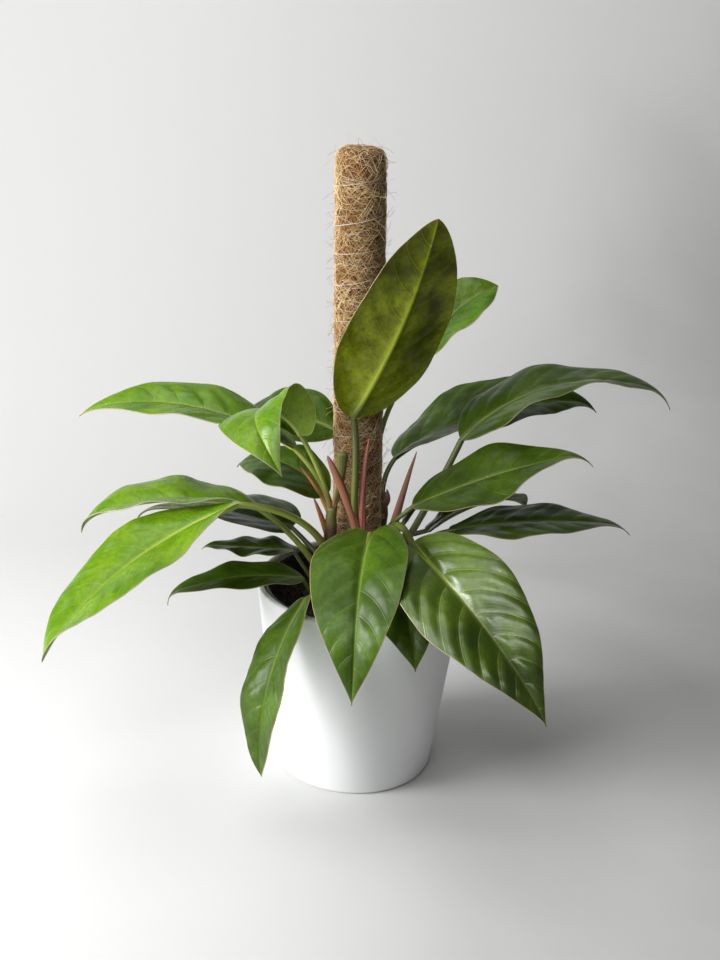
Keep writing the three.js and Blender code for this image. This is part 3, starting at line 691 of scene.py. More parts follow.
# %% Scatter the crumbs
def bare_top(name, margin):
    """A copy of the mix's top without the places where the pole and the stems stand."""
    side = np.arange(-soil_rim, soil_rim, 2.5)
    x, y = np.meshgrid(side, side)
    z = SOIL_TOP + soil_lift(x, y)
    points = np.stack([x, y, z], -1).reshape(-1, 3)
    keep = np.hypot(x, y) < soil_rim - margin
    keep &= np.hypot(x - pole_axis(SOIL_TOP), y) > COIR_RADIUS + margin
    for stem in STEMS:
        share = (SOIL_TOP - stem.foot[2]) / (stem.head[2] - stem.foot[2])
        centre = np.array(stem.foot[:2]) * (1 - share) + np.array(stem.head[:2]) * share
        keep &= np.hypot(x - centre[0], y - centre[1]) > stem.radius[0] + margin
    across = len(side)
    faces = []
    for i in range(across - 1):
        for j in range(across - 1):
            if keep[i : i + 2, j : j + 2].all():
                a = i * across + j
                faces.append((a, a + 1, a + across + 1, a + across))
    return new_piece(name, points, faces, [])


peat_crumbs = bare_top("peat_crumbs", 2.2)
grow(
    peat_crumbs,
    crumb_tree,
    {"Spacing": 3.3 * MM, "Size": 1.7 * MM, "Flatness": 0.75, "Seed": 3, "Material": peat},
)
hand_over(peat_crumbs, "potting_mix")
bark_chips = bare_top("bark_chips", 4)
grow(
    bark_chips,
    crumb_tree,
    {"Spacing": 9.5 * MM, "Size": 2.8 * MM, "Flatness": 0.35, "Seed": 8, "Material": bark},
)
hand_over(bark_chips, "potting_mix")

# %% [markdown]
# ## The pole's wooden core
# A planed batten turned round runs up the middle of the sleeve. It hardly shows, so the packed
# solid stays and only gets its finish: long pale grain in the direction of its length.

# %% Planed softwood
# Softwood's grain runs lengthwise: narrow brown lines in straw-coloured wood, stretched far along.
GRAIN_WIDTH, GRAIN_LENGTH = 1.5, 60
wood, nodes = new_material("planed_softwood", Roughness=0.7)
per_metre = (1 / (GRAIN_WIDTH * MM), 1 / (GRAIN_WIDTH * MM), 1 / (GRAIN_LENGTH * MM))
stretched = nodes.add("ShaderNodeMapping", {"Vector": nodes("place"), "Scale": per_metre})
lines = {"Vector": stretched.outputs["Vector"], "Scale": 1.0, "Detail": 5}
grain = nodes.add("ShaderNodeTexNoise", lines).outputs["Fac"]
nodes.paint(nodes("blend", grain, "#8a6237", "#cba56c"), grain, 0.4, 0.4 * MM)
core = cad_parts["pole_core"]
core.data.materials.clear()
core.data.materials.append(wood)
print("the core stays as packed, with", len(core.data.polygons), "faces")

# %% [markdown]
# ## The coir sleeve
# Coir is the husk of the coconut: stiff tan fibres, matted round the core and held by thread. Up
# close it is all crossing hairs with dark gaps between them. A bump texture alone would leave a
# smooth outline, so the mat is real: a lumpy body underneath, painted dark as the shade in the
# gaps, and thousands of curved fibres wrapped over it by a Geometry Nodes tree.

# %% Coir materials
# Dry coir is a matt, warm tan. Each fibre has its own shade, from straw to chestnut. The body
# between the fibres is painted dark, as painted shade for the gaps that no light gets out of.
FIBRE_GAP = 1.3
coir_body, nodes = new_material("coir_body", Roughness=0.95)
gaps = nodes("noise", nodes("place"), 1 / (FIBRE_GAP * MM), 6)
# Painted shade: where the noise is low the body is near black, for the deepest gaps.
depth = nodes("slope", gaps, 0.35, 0.7)
nodes.paint(nodes("blend", depth, "#301e0c", "#98682e"), gaps, 1.0, 1 * MM)

fibre, nodes = new_material("coir_fibre", Roughness=0.72)
patches = nodes("slope", nodes("noise", nodes("place"), 45.0, 3), 0.4, 0.65, 0.0, 0.45)
own_shade = nodes("blend", nodes("held", attribute_name="shade"), "#9c642a", "#ffeab4")
nodes.paint(nodes("blend", patches, own_shade, "#b67c38"))
print("coir fibres from chestnut to straw")

# %% The sleeve's lumpy body
BODY_SINK = 0.7
LUMP = 0.25
body_rings, body_sides = 150, 72
ring_heights = np.linspace(COIR_FOOT, SHOULDER, body_rings)
dome_angles = np.radians(np.linspace(0, 75, 8)[1:])
heights = np.concatenate([ring_heights, SHOULDER + DOME_HEIGHT * np.sin(dome_angles)])
shares = np.concatenate([np.ones(body_rings), DOME_FLAT + (1 - DOME_FLAT) * np.cos(dome_angles)])
around = full_circle(body_sides)
turn_grid, height_grid = np.meshgrid(around, heights)
lumps = np.sin(3 * turn_grid + height_grid / 23) + np.sin(5 * turn_grid - height_grid / 31)
skin = np.stack([30 * np.cos(turn_grid), 30 * np.sin(turn_grid), height_grid], -1)
radius_grid = shares[:, None] * (COIR_RADIUS - BODY_SINK + LUMP * lumps + 0.5 * ripple(skin, 14, seed=5))
body = np.stack(
    [
        pole_axis(height_grid) + radius_grid * np.cos(turn_grid),
        radius_grid * np.sin(turn_grid),
        height_grid,
    ],
    -1,
).reshape(-1, 3)
coir_sleeve = new_piece(
    "coir_sleeve_body", body, outward(body, tube_faces(len(heights), body_sides)), [coir_body]
)
cut(coir_sleeve, [pole_post("core_bore", COIR_FOOT - 1, CORE_TOP + CLEARANCE, CORE_RADIUS + CLEARANCE)])
hand_over(coir_sleeve, "coir_fibre", "coir_sleeve")

# %% [markdown]
# Each fibre starts as a straight line of a few points, all of them at the origin. Random numbers
# stored for each fibre then say where on the sleeve it lies: how far round, how high, how steep,
# how long and how bent. The last step wraps the line onto the cylinder and over the dome, so the
# fibre follows the round surface wherever it goes.

# %% Helpers for curves round the pole
def unit_line(nodes, count):
    """A straight curve of one unit along x, with count points."""
    line = nodes.add("GeometryNodeCurvePrimitiveLine", {"End": (1, 0, 0)}).outputs["Curve"]
    return nodes.add("GeometryNodeResampleCurve", {"Curve": line, "Count": count}).outputs["Curve"]


def share_of_line(nodes):
    """How far along its unit line each point is."""
    return nodes("x", nodes.add("GeometryNodeInputPosition").outputs["Position"])


def laid_round(nodes, curve, turn, radius, height):
    """A curve with each point at a turn, a radius and a height round the leaning pole."""
    axis = nodes("MULTIPLY_ADD", height, POLE_LEAN, POLE_FOOT_X * MM)
    x = nodes("MULTIPLY_ADD", nodes("COSINE", turn), radius, axis)
    y = nodes("MULTIPLY", nodes("SINE", turn), radius)
    place = nodes.add("ShaderNodeCombineXYZ", {"X": x, "Y": y, "Z": height}).outputs["Vector"]
    return nodes.add("GeometryNodeSetPosition", {"Geometry": curve, "Position": place}).outputs[0]


def tube_along(nodes, curve, sides, thickness):
    """A round closed tube along curves."""
    section = nodes.add("GeometryNodeCurvePrimitiveCircle", {"Resolution": sides, "Radius": thickness})
    ends = {"Curve": curve, "Profile Curve": section.outputs["Curve"], "Fill Caps": True}
    return nodes.add("GeometryNodeCurveToMesh", ends).outputs["Mesh"]


print("curve helpers ready")

# %% Fibre tree
DOME_PATH = 17 * MM
fibre_tree, fibre_in = new_tree(
    "wrapped_fibres",
    {
        "Count": 100,
        "Points": 7,
        "Radius": COIR_RADIUS * MM,
        "From": COIR_FOOT * MM,
        "To": COIR_TOP * MM,
        "Shortest": 10 * MM,
        "Longest": 40 * MM,
        "Steepness": 0.6,
        "Bend": 6 * MM,
        "Stand": 0.0,
        "Thickness": 0.25 * MM,
        "Seed": 1,
        "Material": None,
    },
)
math_in = fibre_tree


def random_between(low, high, offset):
    """A random number for each fibre, from a seed of its own."""
    inputs = {2: low, 3: high, "Seed": math_in("ADD", fibre_in["Seed"], offset)}
    return fibre_tree.add("FunctionNodeRandomValue", inputs, data_type="FLOAT").outputs[1]


fibre_facts = {
    "round": (0.0, 2 * math.pi),
    "rise": (fibre_in["From"], fibre_in["To"]),
    "steep": (math_in("MULTIPLY", fibre_in["Steepness"], -1.0), fibre_in["Steepness"]),
    "reach": (fibre_in["Shortest"], fibre_in["Longest"]),
    "bend": (math_in("MULTIPLY", fibre_in["Bend"], -1.0), fibre_in["Bend"]),
    "lift": (-0.6 * MM, 1.2 * MM),
    "weight": (0.6, 1.4),
    "shade": (0.0, 1.0),
}
geometry = fibre_tree.add("GeometryNodePoints", {"Count": fibre_in["Count"]}).outputs[0]
for offset, (label, (low, high)) in enumerate(fibre_facts.items()):
    value = random_between(low, high, float(100 * offset))
    inputs = {"Geometry": geometry, "Name": label, "Value": value}
    kind = {"data_type": "FLOAT", "domain": "POINT"}
    geometry = fibre_tree.add("GeometryNodeStoreNamedAttribute", inputs, **kind).outputs["Geometry"]
straight = unit_line(fibre_tree, fibre_in["Points"])
placed = fibre_tree.add("GeometryNodeInstanceOnPoints", {"Points": geometry, "Instance": straight})
lines = fibre_tree.add("GeometryNodeRealizeInstances", {"Geometry": placed.outputs["Instances"]})
fact = {
    label: fibre_tree.add("GeometryNodeInputNamedAttribute", {"Name": label}, data_type="FLOAT")
    .outputs["Attribute"]
    for label in fibre_facts
}
print("each fibre holds", len(fact), "facts")

# %% Fibre formulas
# Along the mat: the fibre's own line, turned by its steepness and bowed.
share = share_of_line(fibre_tree)
centred = math_in("SUBTRACT", share, 0.5)
run = math_in("MULTIPLY", centred, fact["reach"])
run_round = math_in("MULTIPLY", run, math_in("COSINE", fact["steep"]))
run_up = math_in("MULTIPLY", run, math_in("SINE", fact["steep"]))
bowed = math_in("MULTIPLY", math_in("MULTIPLY", centred, centred), 4.0)
bow_up = math_in("MULTIPLY", bowed, fact["bend"])
rise = math_in("ADD", math_in("ADD", fact["rise"], run_up), bow_up)
angle = math_in("ADD", fact["round"], math_in("DIVIDE", run_round, fibre_in["Radius"]))

# Over the shoulder: what goes past it bends in over the dome, then runs flat to the middle.
past_shoulder = math_in("SUBTRACT", rise, SHOULDER * MM)
over = math_in("DIVIDE", past_shoulder, DOME_PATH, use_clamp=True)
dome_angle = math_in("MULTIPLY", over, math.pi / 2)
dome_up = math_in("MULTIPLY", math_in("SINE", dome_angle), DOME_HEIGHT * MM)
wall_up = math_in("MINIMUM", rise, SHOULDER * MM)
dome_share = math_in("MULTIPLY_ADD", math_in("COSINE", dome_angle), 1 - DOME_FLAT, DOME_FLAT)
flat_run = math_in("MAXIMUM", math_in("SUBTRACT", past_shoulder, DOME_PATH), 0.0)

# Off the mat: a ripple along the fibre, and a loose end that stands out.
RIPPLE_RATE, RIPPLE_DEPTH, LOOSE_POWER = 9.0, 0.5 * MM, 3.0
sway = math_in("SINE", math_in("MULTIPLY", share, RIPPLE_RATE))
ripple_in = math_in("MULTIPLY", sway, RIPPLE_DEPTH)
loose_end = math_in("POWER", share, LOOSE_POWER)
stand_out = math_in("MULTIPLY", math_in("MULTIPLY", loose_end, fibre_in["Stand"]), fact["weight"])
lifted = math_in("ADD", math_in("ADD", fact["lift"], ripple_in), stand_out)
wall_radius = math_in("MULTIPLY", fibre_in["Radius"], dome_share)
over_radius = math_in("SUBTRACT", wall_radius, flat_run)
radius_out = math_in("ADD", math_in("MAXIMUM", over_radius, 0.0), lifted)
height_out = math_in("ADD", math_in("ADD", wall_up, dome_up), math_in("MULTIPLY", lifted, over))
wrapped = laid_round(fibre_tree, lines.outputs["Geometry"], angle, radius_out, height_out)
weighted = fibre_tree.add("GeometryNodeSetCurveRadius", {"Curve": wrapped, "Radius": fact["weight"]})
tubes = tube_along(fibre_tree, weighted.outputs["Curve"], 3, fibre_in["Thickness"])
end_tree(fibre_tree, tubes, fibre_in["Material"])
print("fibre tree has", len(fibre_tree.tree.nodes), "nodes")

# %% Wrap the fibres
def empty_piece(name):
    """A piece with no mesh yet, for a tree that makes everything itself."""
    return new_piece(name, np.zeros((0, 3)), [], [])


COATS = {
    "coir_mat": {
        "Count": 5200,
        "From": 160 * MM,
        "To": (COIR_TOP + 8) * MM,
        "Shortest": 9 * MM,
        "Longest": 34 * MM,
        "Steepness": 1.1,
        "Bend": 9 * MM,
        "Thickness": 0.22 * MM,
        "Seed": 21,
    },
    "coir_strays": {
        "Count": 420,
        "From": 200 * MM,
        "To": (COIR_TOP + 6) * MM,
        "Shortest": 12 * MM,
        "Longest": 30 * MM,
        "Steepness": 1.4,
        "Bend": 6 * MM,
        "Stand": 8 * MM,
        "Thickness": 0.16 * MM,
        "Seed": 77,
    },
}
for name, settings in COATS.items():
    coat = grow(empty_piece(name), fibre_tree, {**settings, "Material": fibre})
    hand_over(coat, "coir_fibre")

# %% [markdown]
# ## The binding thread
# Pale nylon is wound round the coir from end to end, never quite level. Its route follows a
# rule: a helix whose height wanders. A tree draws it as a curve of one unit, lays it on the rule
# and gives it a round section. A second, finer winding runs the other way, as it does on the
# real pole.

# %% Nylon thread
# Drawn nylon is clear and shiny: pale, with small hard highlights along the thread.
nylon, nodes = new_material("drawn_nylon", Roughness=0.3, IOR=1.53)
nodes.paint(nodes("blend", nodes("noise", nodes("place"), 120.0), "#a89c86", "#e6e2d8"))

# %% Thread tree
thread_tree, thread_in = new_tree(
    "wound_thread",
    {
        "Turns": 14.0,
        "Steps": 700,
        "Radius": 24 * MM,
        "From": 190 * MM,
        "To": 606 * MM,
        "Wander": 3 * MM,
        "Per Turn": 0.37,
        "Thickness": 0.4 * MM,
        "Material": None,
    },
)
math_in = thread_tree
straight = unit_line(thread_tree, thread_in["Steps"])
wound = share_of_line(thread_tree)
angle = math_in("MULTIPLY", math_in("MULTIPLY", wound, thread_in["Turns"]), 2 * math.pi)
span = math_in("SUBTRACT", thread_in["To"], thread_in["From"])
level = math_in("MULTIPLY_ADD", wound, span, thread_in["From"])
sway = math_in("SINE", math_in("MULTIPLY_ADD", angle, thread_in["Per Turn"], 1.0))
height = math_in("ADD", level, math_in("MULTIPLY", sway, thread_in["Wander"]))
route = laid_round(thread_tree, straight, angle, thread_in["Radius"], height)
tube = tube_along(thread_tree, route, 6, thread_in["Thickness"])
end_tree(thread_tree, tube, thread_in["Material"])
print("thread tree has", len(thread_tree.tree.nodes), "nodes")

# %% Wind the thread
WINDINGS = {
    "nylon_binding": {"Turns": 14.0, "Steps": 700, "Radius": 23.9 * MM, "Thickness": 0.3 * MM},
    "nylon_binding_fine": {
        "Turns": -31.0,
        "Steps": 1500,
        "Radius": 23.5 * MM,
        "From": 170 * MM,
        "To": 620 * MM,
        "Wander": 6 * MM,
        "Per Turn": 0.61,
        "Thickness": 0.17 * MM,
    },
}
STANDS_FOR = {"nylon_binding": ["binding_thread"]}
for name, settings in WINDINGS.items():
    winding = grow(empty_piece(name), thread_tree, {**settings, "Material": nylon})
    hand_over(winding, "nylon_thread", *STANDS_FOR.get(name, []))

# %% [markdown]
# ## Stems
# A philodendron's stem is short-jointed and fleshy: olive green, ringed by the brown scars of old
# leaves. Each one is a tube of rings between its foot and its head, swollen at the joints. The
# scars are drawn by the material from an attribute, so they run exactly round the swellings.

# %% Stem skin
# Fresh joints are olive and slightly waxy; the scars are corky and brown.
stem_skin, nodes = new_material("stem_skin", Roughness=0.55)
cloud = nodes("noise", nodes("place"), 160.0, 6, 0.65)
green = nodes("blend", cloud, "#4a4a1c", "#7d7a36")
nodes.paint(nodes("blend", nodes("held", attribute_name="scar"), green, "#4f3320"), cloud, 0.5, 0.6 * MM)
print("stem skin reads its scars from the mesh")

# %% Grow the stems
STEM_SIDES, STEM_RINGS, JOINT, JOINTS = 28, 60, 0.8, 3


def closed_tube(name, centres, across, back, radii, materials, **details):
    """A closed tube through rings. Radii has one row for each ring and one column for each side."""
    rings, sides = radii.shape
    turns = full_circle(sides)
    points = beside(centres, across, back, radii * np.cos(turns), radii * np.sin(turns))
    points = points.reshape(-1, 3)
    return new_piece(name, points, outward(points, tube_faces(rings, sides)), materials, **details)


for stem in STEMS:
    share = np.linspace(0, 1, STEM_RINGS)[:, None]
    foot, head = np.array(stem.foot, float), np.array(stem.head, float)
    swelling = np.sin(math.pi * JOINTS * share) ** 6
    turns = full_circle(STEM_SIDES)
    surface = np.stack(
        [
            8 * np.cos(turns) + 0 * share,
            8 * np.sin(turns) + 0 * share,
            (head[2] - foot[2]) * share + 0 * turns,
        ],
        -1,
    )
    radii = between(stem.radius, share) + JOINT * swelling
    radii = radii + 0.25 * ripple(surface, 12, seed=len(stem.name))
    level = np.tile([[1.0, 0, 0]], (STEM_RINGS, 1))
    piece = closed_tube(
        stem.name + "_skin",
        foot + (head - foot) * share,
        level,
        np.roll(level, 1, axis=1),
        radii,
        [stem_skin],
        attributes={"scar": np.clip(swelling * 1.3 - 0.2, 0, 1).repeat(STEM_SIDES)},
    )
    hand_over(piece, "green_stem", stem.name)

# %% [markdown]
# ## Spears and sheaths
# New leaves come up rolled, as spears in pink-brown sheaths, and old sheaths dry to straw and
# orange. Each one is a flattened tube along a curve through three points, with a seam where its
# edge wraps over and fine ridges along it. The colour runs from foot to tip, so each piece holds
# its share of the length as an attribute and the tree blends two colours by it.

# %% Sheath skin
def sheath_material(name, foot_colour, tip_colour):
    """A papery skin from one colour at the foot to another at the tip, with lengthwise ridges and
    painted shade along its seam and in its grooves.
    """
    material, nodes = new_material(
        name, Roughness=0.5, Subsurface_Weight=0.12, Subsurface_Radius=(0.004, 0.002, 0.001)
    )
    cloud = nodes("noise", nodes("place"), 260.0, 5)
    blur = nodes("MULTIPLY_ADD", cloud, 0.5, -0.25)
    share = nodes("ADD", nodes("held", attribute_name="along"), blur, use_clamp=True)
    body = nodes("blend", share, foot_colour, tip_colour)
    # Painted shade: darker brown along the seam and in the grooves between the ridges.
    crease_shaded = nodes("blend", nodes("MULTIPLY", nodes("held", attribute_name="ridge"), 0.5), body, "#3d2417")
    nodes.paint(crease_shaded, cloud, 0.3, 0.4 * MM)
    return material


@dataclass
class Spear:
    name: str
    path: tuple
    width: tuple
    colours: tuple
    point: float


# Point is the share of the length over which the tip closes.
SPEARS = [
    Spear("sheath_brown_front", ((2, -46, 250), (-13, -50, 303), (-38, -44, 350)), (9, 7),
          ("#7d4634", "#8f5a40"), 0.25),
    Spear("spear_pink_front", ((1, -47, 250), (-7, -46, 318), (1, -44, 370)), (8.5, 4),
          ("#8a4a3c", "#b87064"), 0.5),
    Spear("spear_brown_right", ((26, -10, 250), (35, -11, 299), (48, -7, 346)), (10, 2.4),
          ("#8a5a48", "#b07a66"), 0.3),
    Spear("sheath_yellow_left", ((-33, -28, 255), (-42, -31, 284), (-50, -34, 303)), (7, 2.5),
          ("#c0893a", "#a24a2c"), 0.4),
    Spear("sheath_yellow_high", ((-32, -29, 280), (-48, -31, 317), (-64, -34, 334)), (5, 2.5),
          ("#c79a45", "#9c5a30"), 0.4),
    Spear("sheath_green_left", ((-31, -29, 284), (-27, -31, 314), (-26, -31, 336)), (5.5, 4),
          ("#8d5a38", "#a3a043"), 0.4),
    Spear("stub_olive_left", ((-31, -29, 286), (-23, -32, 322), (-24, -30, 350)), (4, 11),
          ("#4f5424", "#6a6b2c"), 0.06),
    Spear("sheath_pink_right", ((19, 22, 276), (25, 12, 285), (21, 10, 298)), (8, 3),
          ("#b98578", "#cf9f92"), 0.4),
]
print(len(SPEARS), "spears and sheaths")

# %% Roll the spears
SPEAR_RINGS, SPEAR_SIDES, SPEAR_FLAT, SEAM_DEPTH = 48, 30, 0.75, 0.35

for spear in SPEARS:
    share = np.linspace(0, 1, SPEAR_RINGS)[:, None]
    start, middle, end = (np.array(point, float) for point in spear.path)
    centres = start * (1 - share) ** 2 + 2 * middle * share * (1 - share) + end * share**2
    along = unit((middle - start) * (1 - share) + (end - middle) * share)
    across = unit(np.cross((0, 1, 0), along))
    back = np.cross(along, across)
    half = between(spear.width, share) / 2
    closing = np.clip((share - 1 + spear.point) / spear.point, 0, 0.995)
    half = half * np.sqrt(1 - closing**2)
    turns = full_circle(SPEAR_SIDES)
    flat = np.hypot(np.cos(turns), SPEAR_FLAT * np.sin(turns))
    wrap = np.mod(turns + 1.9 - 2.2 * share, 2 * math.pi) / (2 * math.pi)
    seam = np.exp(-((wrap * 18) ** 2)) + np.exp(-(((1 - wrap) * 40) ** 2))
    ridges = 0.5 + 0.5 * np.cos(9 * turns + 2 * share)
    radii = half * flat - np.minimum(SEAM_DEPTH, half * 0.15) * seam + 0.06 * ridges * half
    piece = closed_tube(
        spear.name + "_skin",
        centres,
        across,
        back,
        radii,
        [sheath_material(spear.name + "_colour", *spear.colours)],
        attributes={
            "along": np.repeat(share[:, 0], SPEAR_SIDES),
            # How much painted shade the seam and the grooves between the ridges get.
            "ridge": np.clip(seam + 0.25 * (1 - ridges), 0, 1),
        },
    )
    hand_over(piece, "brown_sheath", spear.name)

# %% [markdown]
# ## Leaf materials
# A philodendron leaf is thick and waxy. Light from the front gives it broad, soft highlights
# that break up on the quilting between the side veins; light from behind makes it glow
# yellow-green. A flat green would look like plastic, so the colour is built up in layers: two
# sizes of mottling, a paler band along the midrib, thin paler lines on the side veins, hair-fine
# veins between them, and a narrow cream margin. All of them follow numbers that the mesh holds
# for each point, so they bend with the leaf. The dark leaves and the bright ones get the same
# tree with other colours. Their split is partly the leaves' age and partly painted light: bright
# for the leaves lit from the left, dark for those in shade on the right.

# %% Leaf looks
@dataclass
class Look:
    shade: str
    body: str
    young: str
    rib: str
    edge: str
    gloss: float
    glow: float
    shine: float = 0.4
    veins: float = 0.22
    # How much paler the base is: partly the leaf's own colour, and on the olive under side a painted
    # sheen.
    base: float = 0.15


# The bright look is partly painted light, for leaves lit by the window, and the dark look partly painted
# shade.
LOOKS = {
    "bright": Look("#3c5c06", "#527c08", "#709418", "#9db044", "#aea67c", 0.27, 0.08),
    "mid": Look("#263a05", "#364f08", "#4c6a12", "#728a30", "#9c8e64", 0.34, 0.05, 0.28, 0.14),
    "dark": Look("#202e04", "#2d4207", "#41590d", "#66792a", "#857c54", 0.3, 0.03, 0.28, 0.14),
    "olive": Look("#2a3a03", "#3b5304", "#567208", "#9cae4a", "#a09268", 0.33, 0.05, 0.85, 0.3, 0.4),
}
UNDER = {
    "bright": Look("#4c6410", "#66801c", "#7c962c", "#a9bd62", "#b2a97a", 0.42, 0.1, 0.25),
    "mid": Look("#3a5014", "#4c6a20", "#5f7d30", "#8c9f4c", "#96906a", 0.45, 0.06, 0.25),
    "dark": Look("#232808", "#303a0c", "#424f16", "#748238", "#756c44", 0.42, 0.03, 0.2),
    # The olive under side's pale young green and pale base are partly painted highlight, for the top
    # leaf's gloss.
    "olive": Look("#2a2e03", "#3e4403", "#828e12", "#8c9a2a", "#7a6434", 0.15, 0.04, 0.26, 0.22, 0.75),
}

print(len(LOOKS), "looks, each with an upper and an under side")

# %% Leaf material
# Scales of the noises: how many patches, specks, flaws and cells there are in a metre.
PATCHES, SPECKS, FLAWS, CELLS = 30.0, 260.0, 75.0, 900.0


def leaf_material(name, look):
    """The skin of one side of a leaf, from a look's colours."""
    material, nodes = new_material(
        name,
        Roughness=look.gloss,
        IOR=1.45,
        Specular_IOR_Level=look.shine,
        Subsurface_Weight=look.glow,
        Subsurface_Radius=(0.0035, 0.005, 0.0012),
    )
    small = nodes("noise", nodes("place"), SPECKS, 6, 0.6)
    vein, along, rib_mm = (nodes("held", attribute_name=label) for label in ("vein", "along", "rib_mm"))

    # Mottling: broad patches of young and old green, paler at the base, with fine dark specks. The
    #     pale base is partly the leaf's own colour and, on the olive under side, mostly a painted sheen.
    broad = nodes("noise", nodes("place"), PATCHES, 3)
    colour = nodes("blend", nodes("ramp", broad, 0.32, 0.68), look.body, look.young)
    colour = nodes("blend", nodes("ramp", along, 0.08, 0.5, look.base, 0.0), colour, look.young)
    colour = nodes("blend", nodes("MULTIPLY", nodes("ramp", small, 0.35, 0.7), 0.45), colour, look.shade)

    # Veins: a pale line at each whole number of the vein count, and seven fine ones between.
    phase = nodes("ADD", vein, nodes("MULTIPLY_ADD", small, 0.08, -0.04))
    main_line = nodes("ramp", nodes("PINGPONG", phase, 0.5), 0.0, 0.05, 1.0, 0.0)
    fine_phase = nodes("MULTIPLY", phase, 7.0)
    fine_line = nodes("ramp", nodes("PINGPONG", fine_phase, 0.5), 0.0, 0.22, 1.0, 0.0)
    colour = nodes("blend", nodes("MULTIPLY", fine_line, 0.06), colour, look.rib)
    colour = nodes("blend", nodes("MULTIPLY", main_line, look.veins), colour, look.rib)

    # Midrib, its pale band, the cream margin and the dry tip.
    rib_fade = nodes("ramp", along, 0.05, 0.75, 0.9, 0.25)
    for rib in (nodes("ramp", rib_mm, 0.0, 4.0, 0.25, 0.0), nodes("ramp", rib_mm, -0.2, 0.5, 1.0, 0.0)):
        colour = nodes("blend", nodes("MULTIPLY", rib, rib_fade), colour, look.rib)
    margin = nodes("ramp", nodes("held", attribute_name="edge_mm"), 0.25, 0.75, 1.0, 0.0)
    colour = nodes("blend", nodes("MULTIPLY", margin, 0.85), colour, look.edge)
    colour = nodes("blend", nodes("MULTIPLY", nodes("ramp", along, 0.965, 1.0), 0.7), colour, "#7a5a2c")

    # Corky scars where a leaf is worn. They are dull, and the gloss varies with the mottling.
    flaws = nodes("noise", nodes("place"), FLAWS, 7, 0.7, 1.2)
    scar = nodes("MULTIPLY", nodes("ramp", flaws, 0.68, 0.72), nodes("held", attribute_name="worn"))
    gloss = nodes("MULTIPLY_ADD", small, 0.16, look.gloss - 0.08)
    dull = nodes("MULTIPLY_ADD", scar, 0.35, gloss)
    nodes.tree.links.new(dull, nodes.shader.inputs["Roughness"])

    # Relief: sunk veins over the leaf's cells.
    cells = nodes.add("ShaderNodeTexVoronoi", {"Vector": nodes("place"), "Scale": CELLS}, feature="F1")
    relief = nodes("MULTIPLY_ADD", main_line, -0.35, 0.0)
    relief = nodes("MULTIPLY_ADD", fine_line, -0.1, relief)
    relief = nodes("MULTIPLY_ADD", cells.outputs["Distance"], 0.12, relief)
    relief = nodes("MULTIPLY_ADD", small, 0.3, relief)
    nodes.paint(nodes("blend", scar, colour, "#a8793c"), relief, 0.55, 0.5 * MM)
    return material


leaf_skins = {tone: leaf_material(f"leaf_top_{tone}", look) for tone, look in LOOKS.items()}
under_skins = {tone: leaf_material(f"leaf_under_{tone}", look) for tone, look in UNDER.items()}

# Leaf stalks are fleshy and olive, redder towards the foot, with a dull shine.
STALK_COLOURS = {
    "bright": ("#7c5a34", "#8a9a3c"),
    "mid": ("#6b4a2c", "#6f7d2e"),
    "dark": ("#4a3420", "#57602a"),
    "olive": ("#5a4a26", "#59641c"),
}
stalk_skins = {}
for tone, (foot_colour, top_colour) in STALK_COLOURS.items():
    stalk_skins[tone], nodes = new_material(
        f"stalk_{tone}", Roughness=0.4, Subsurface_Weight=0.1, Subsurface_Radius=(0.003, 0.003, 0.001)
    )
    speckle = nodes("noise", nodes("place"), 420.0, 4)
    height = nodes("ramp", nodes("held", attribute_name="along"), -1.0, -0.55)
    colour = nodes("blend", height, foot_colour, top_colour)
    spots = nodes("ramp", speckle, 0.55, 0.75, 0.0, 0.5)
    nodes.paint(nodes("blend", spots, colour, foot_colour), speckle, 0.25, 0.3 * MM)
print(len(leaf_skins) + len(under_skins) + len(stalk_skins), "leaf materials")

# %% [markdown]
# ## The leaves' table
# Every leaf is one entry of real measures. Its stalk starts at a root inside a stem and follows a
# bearing (0 along +X, 90 along +Y) and a climb above the horizontal, each from start to end. The
# blade goes on from the stalk's end. Roll turns the blade round its midrib, fold lifts both
# halves to a shallow V, and wave swings the margin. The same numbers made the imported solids, so
# the fine leaves keep their form.

# %% Leaf table
@dataclass
class Stalk:
    length: float
    width: float
    bearing: tuple
    climb: tuple


@dataclass
class Blade:
    length: float
    bearing: float
    climb: tuple
    hook: float


@dataclass
class Shape:
    half_width: float
    widest: float
    taper: float
    side: float
    lobe: float


@dataclass
class Leaf:
    name: str
    root: tuple
    stalk: Stalk
    blade: Blade
    shape: Shape
    roll: tuple
    fold: float
    wave: tuple


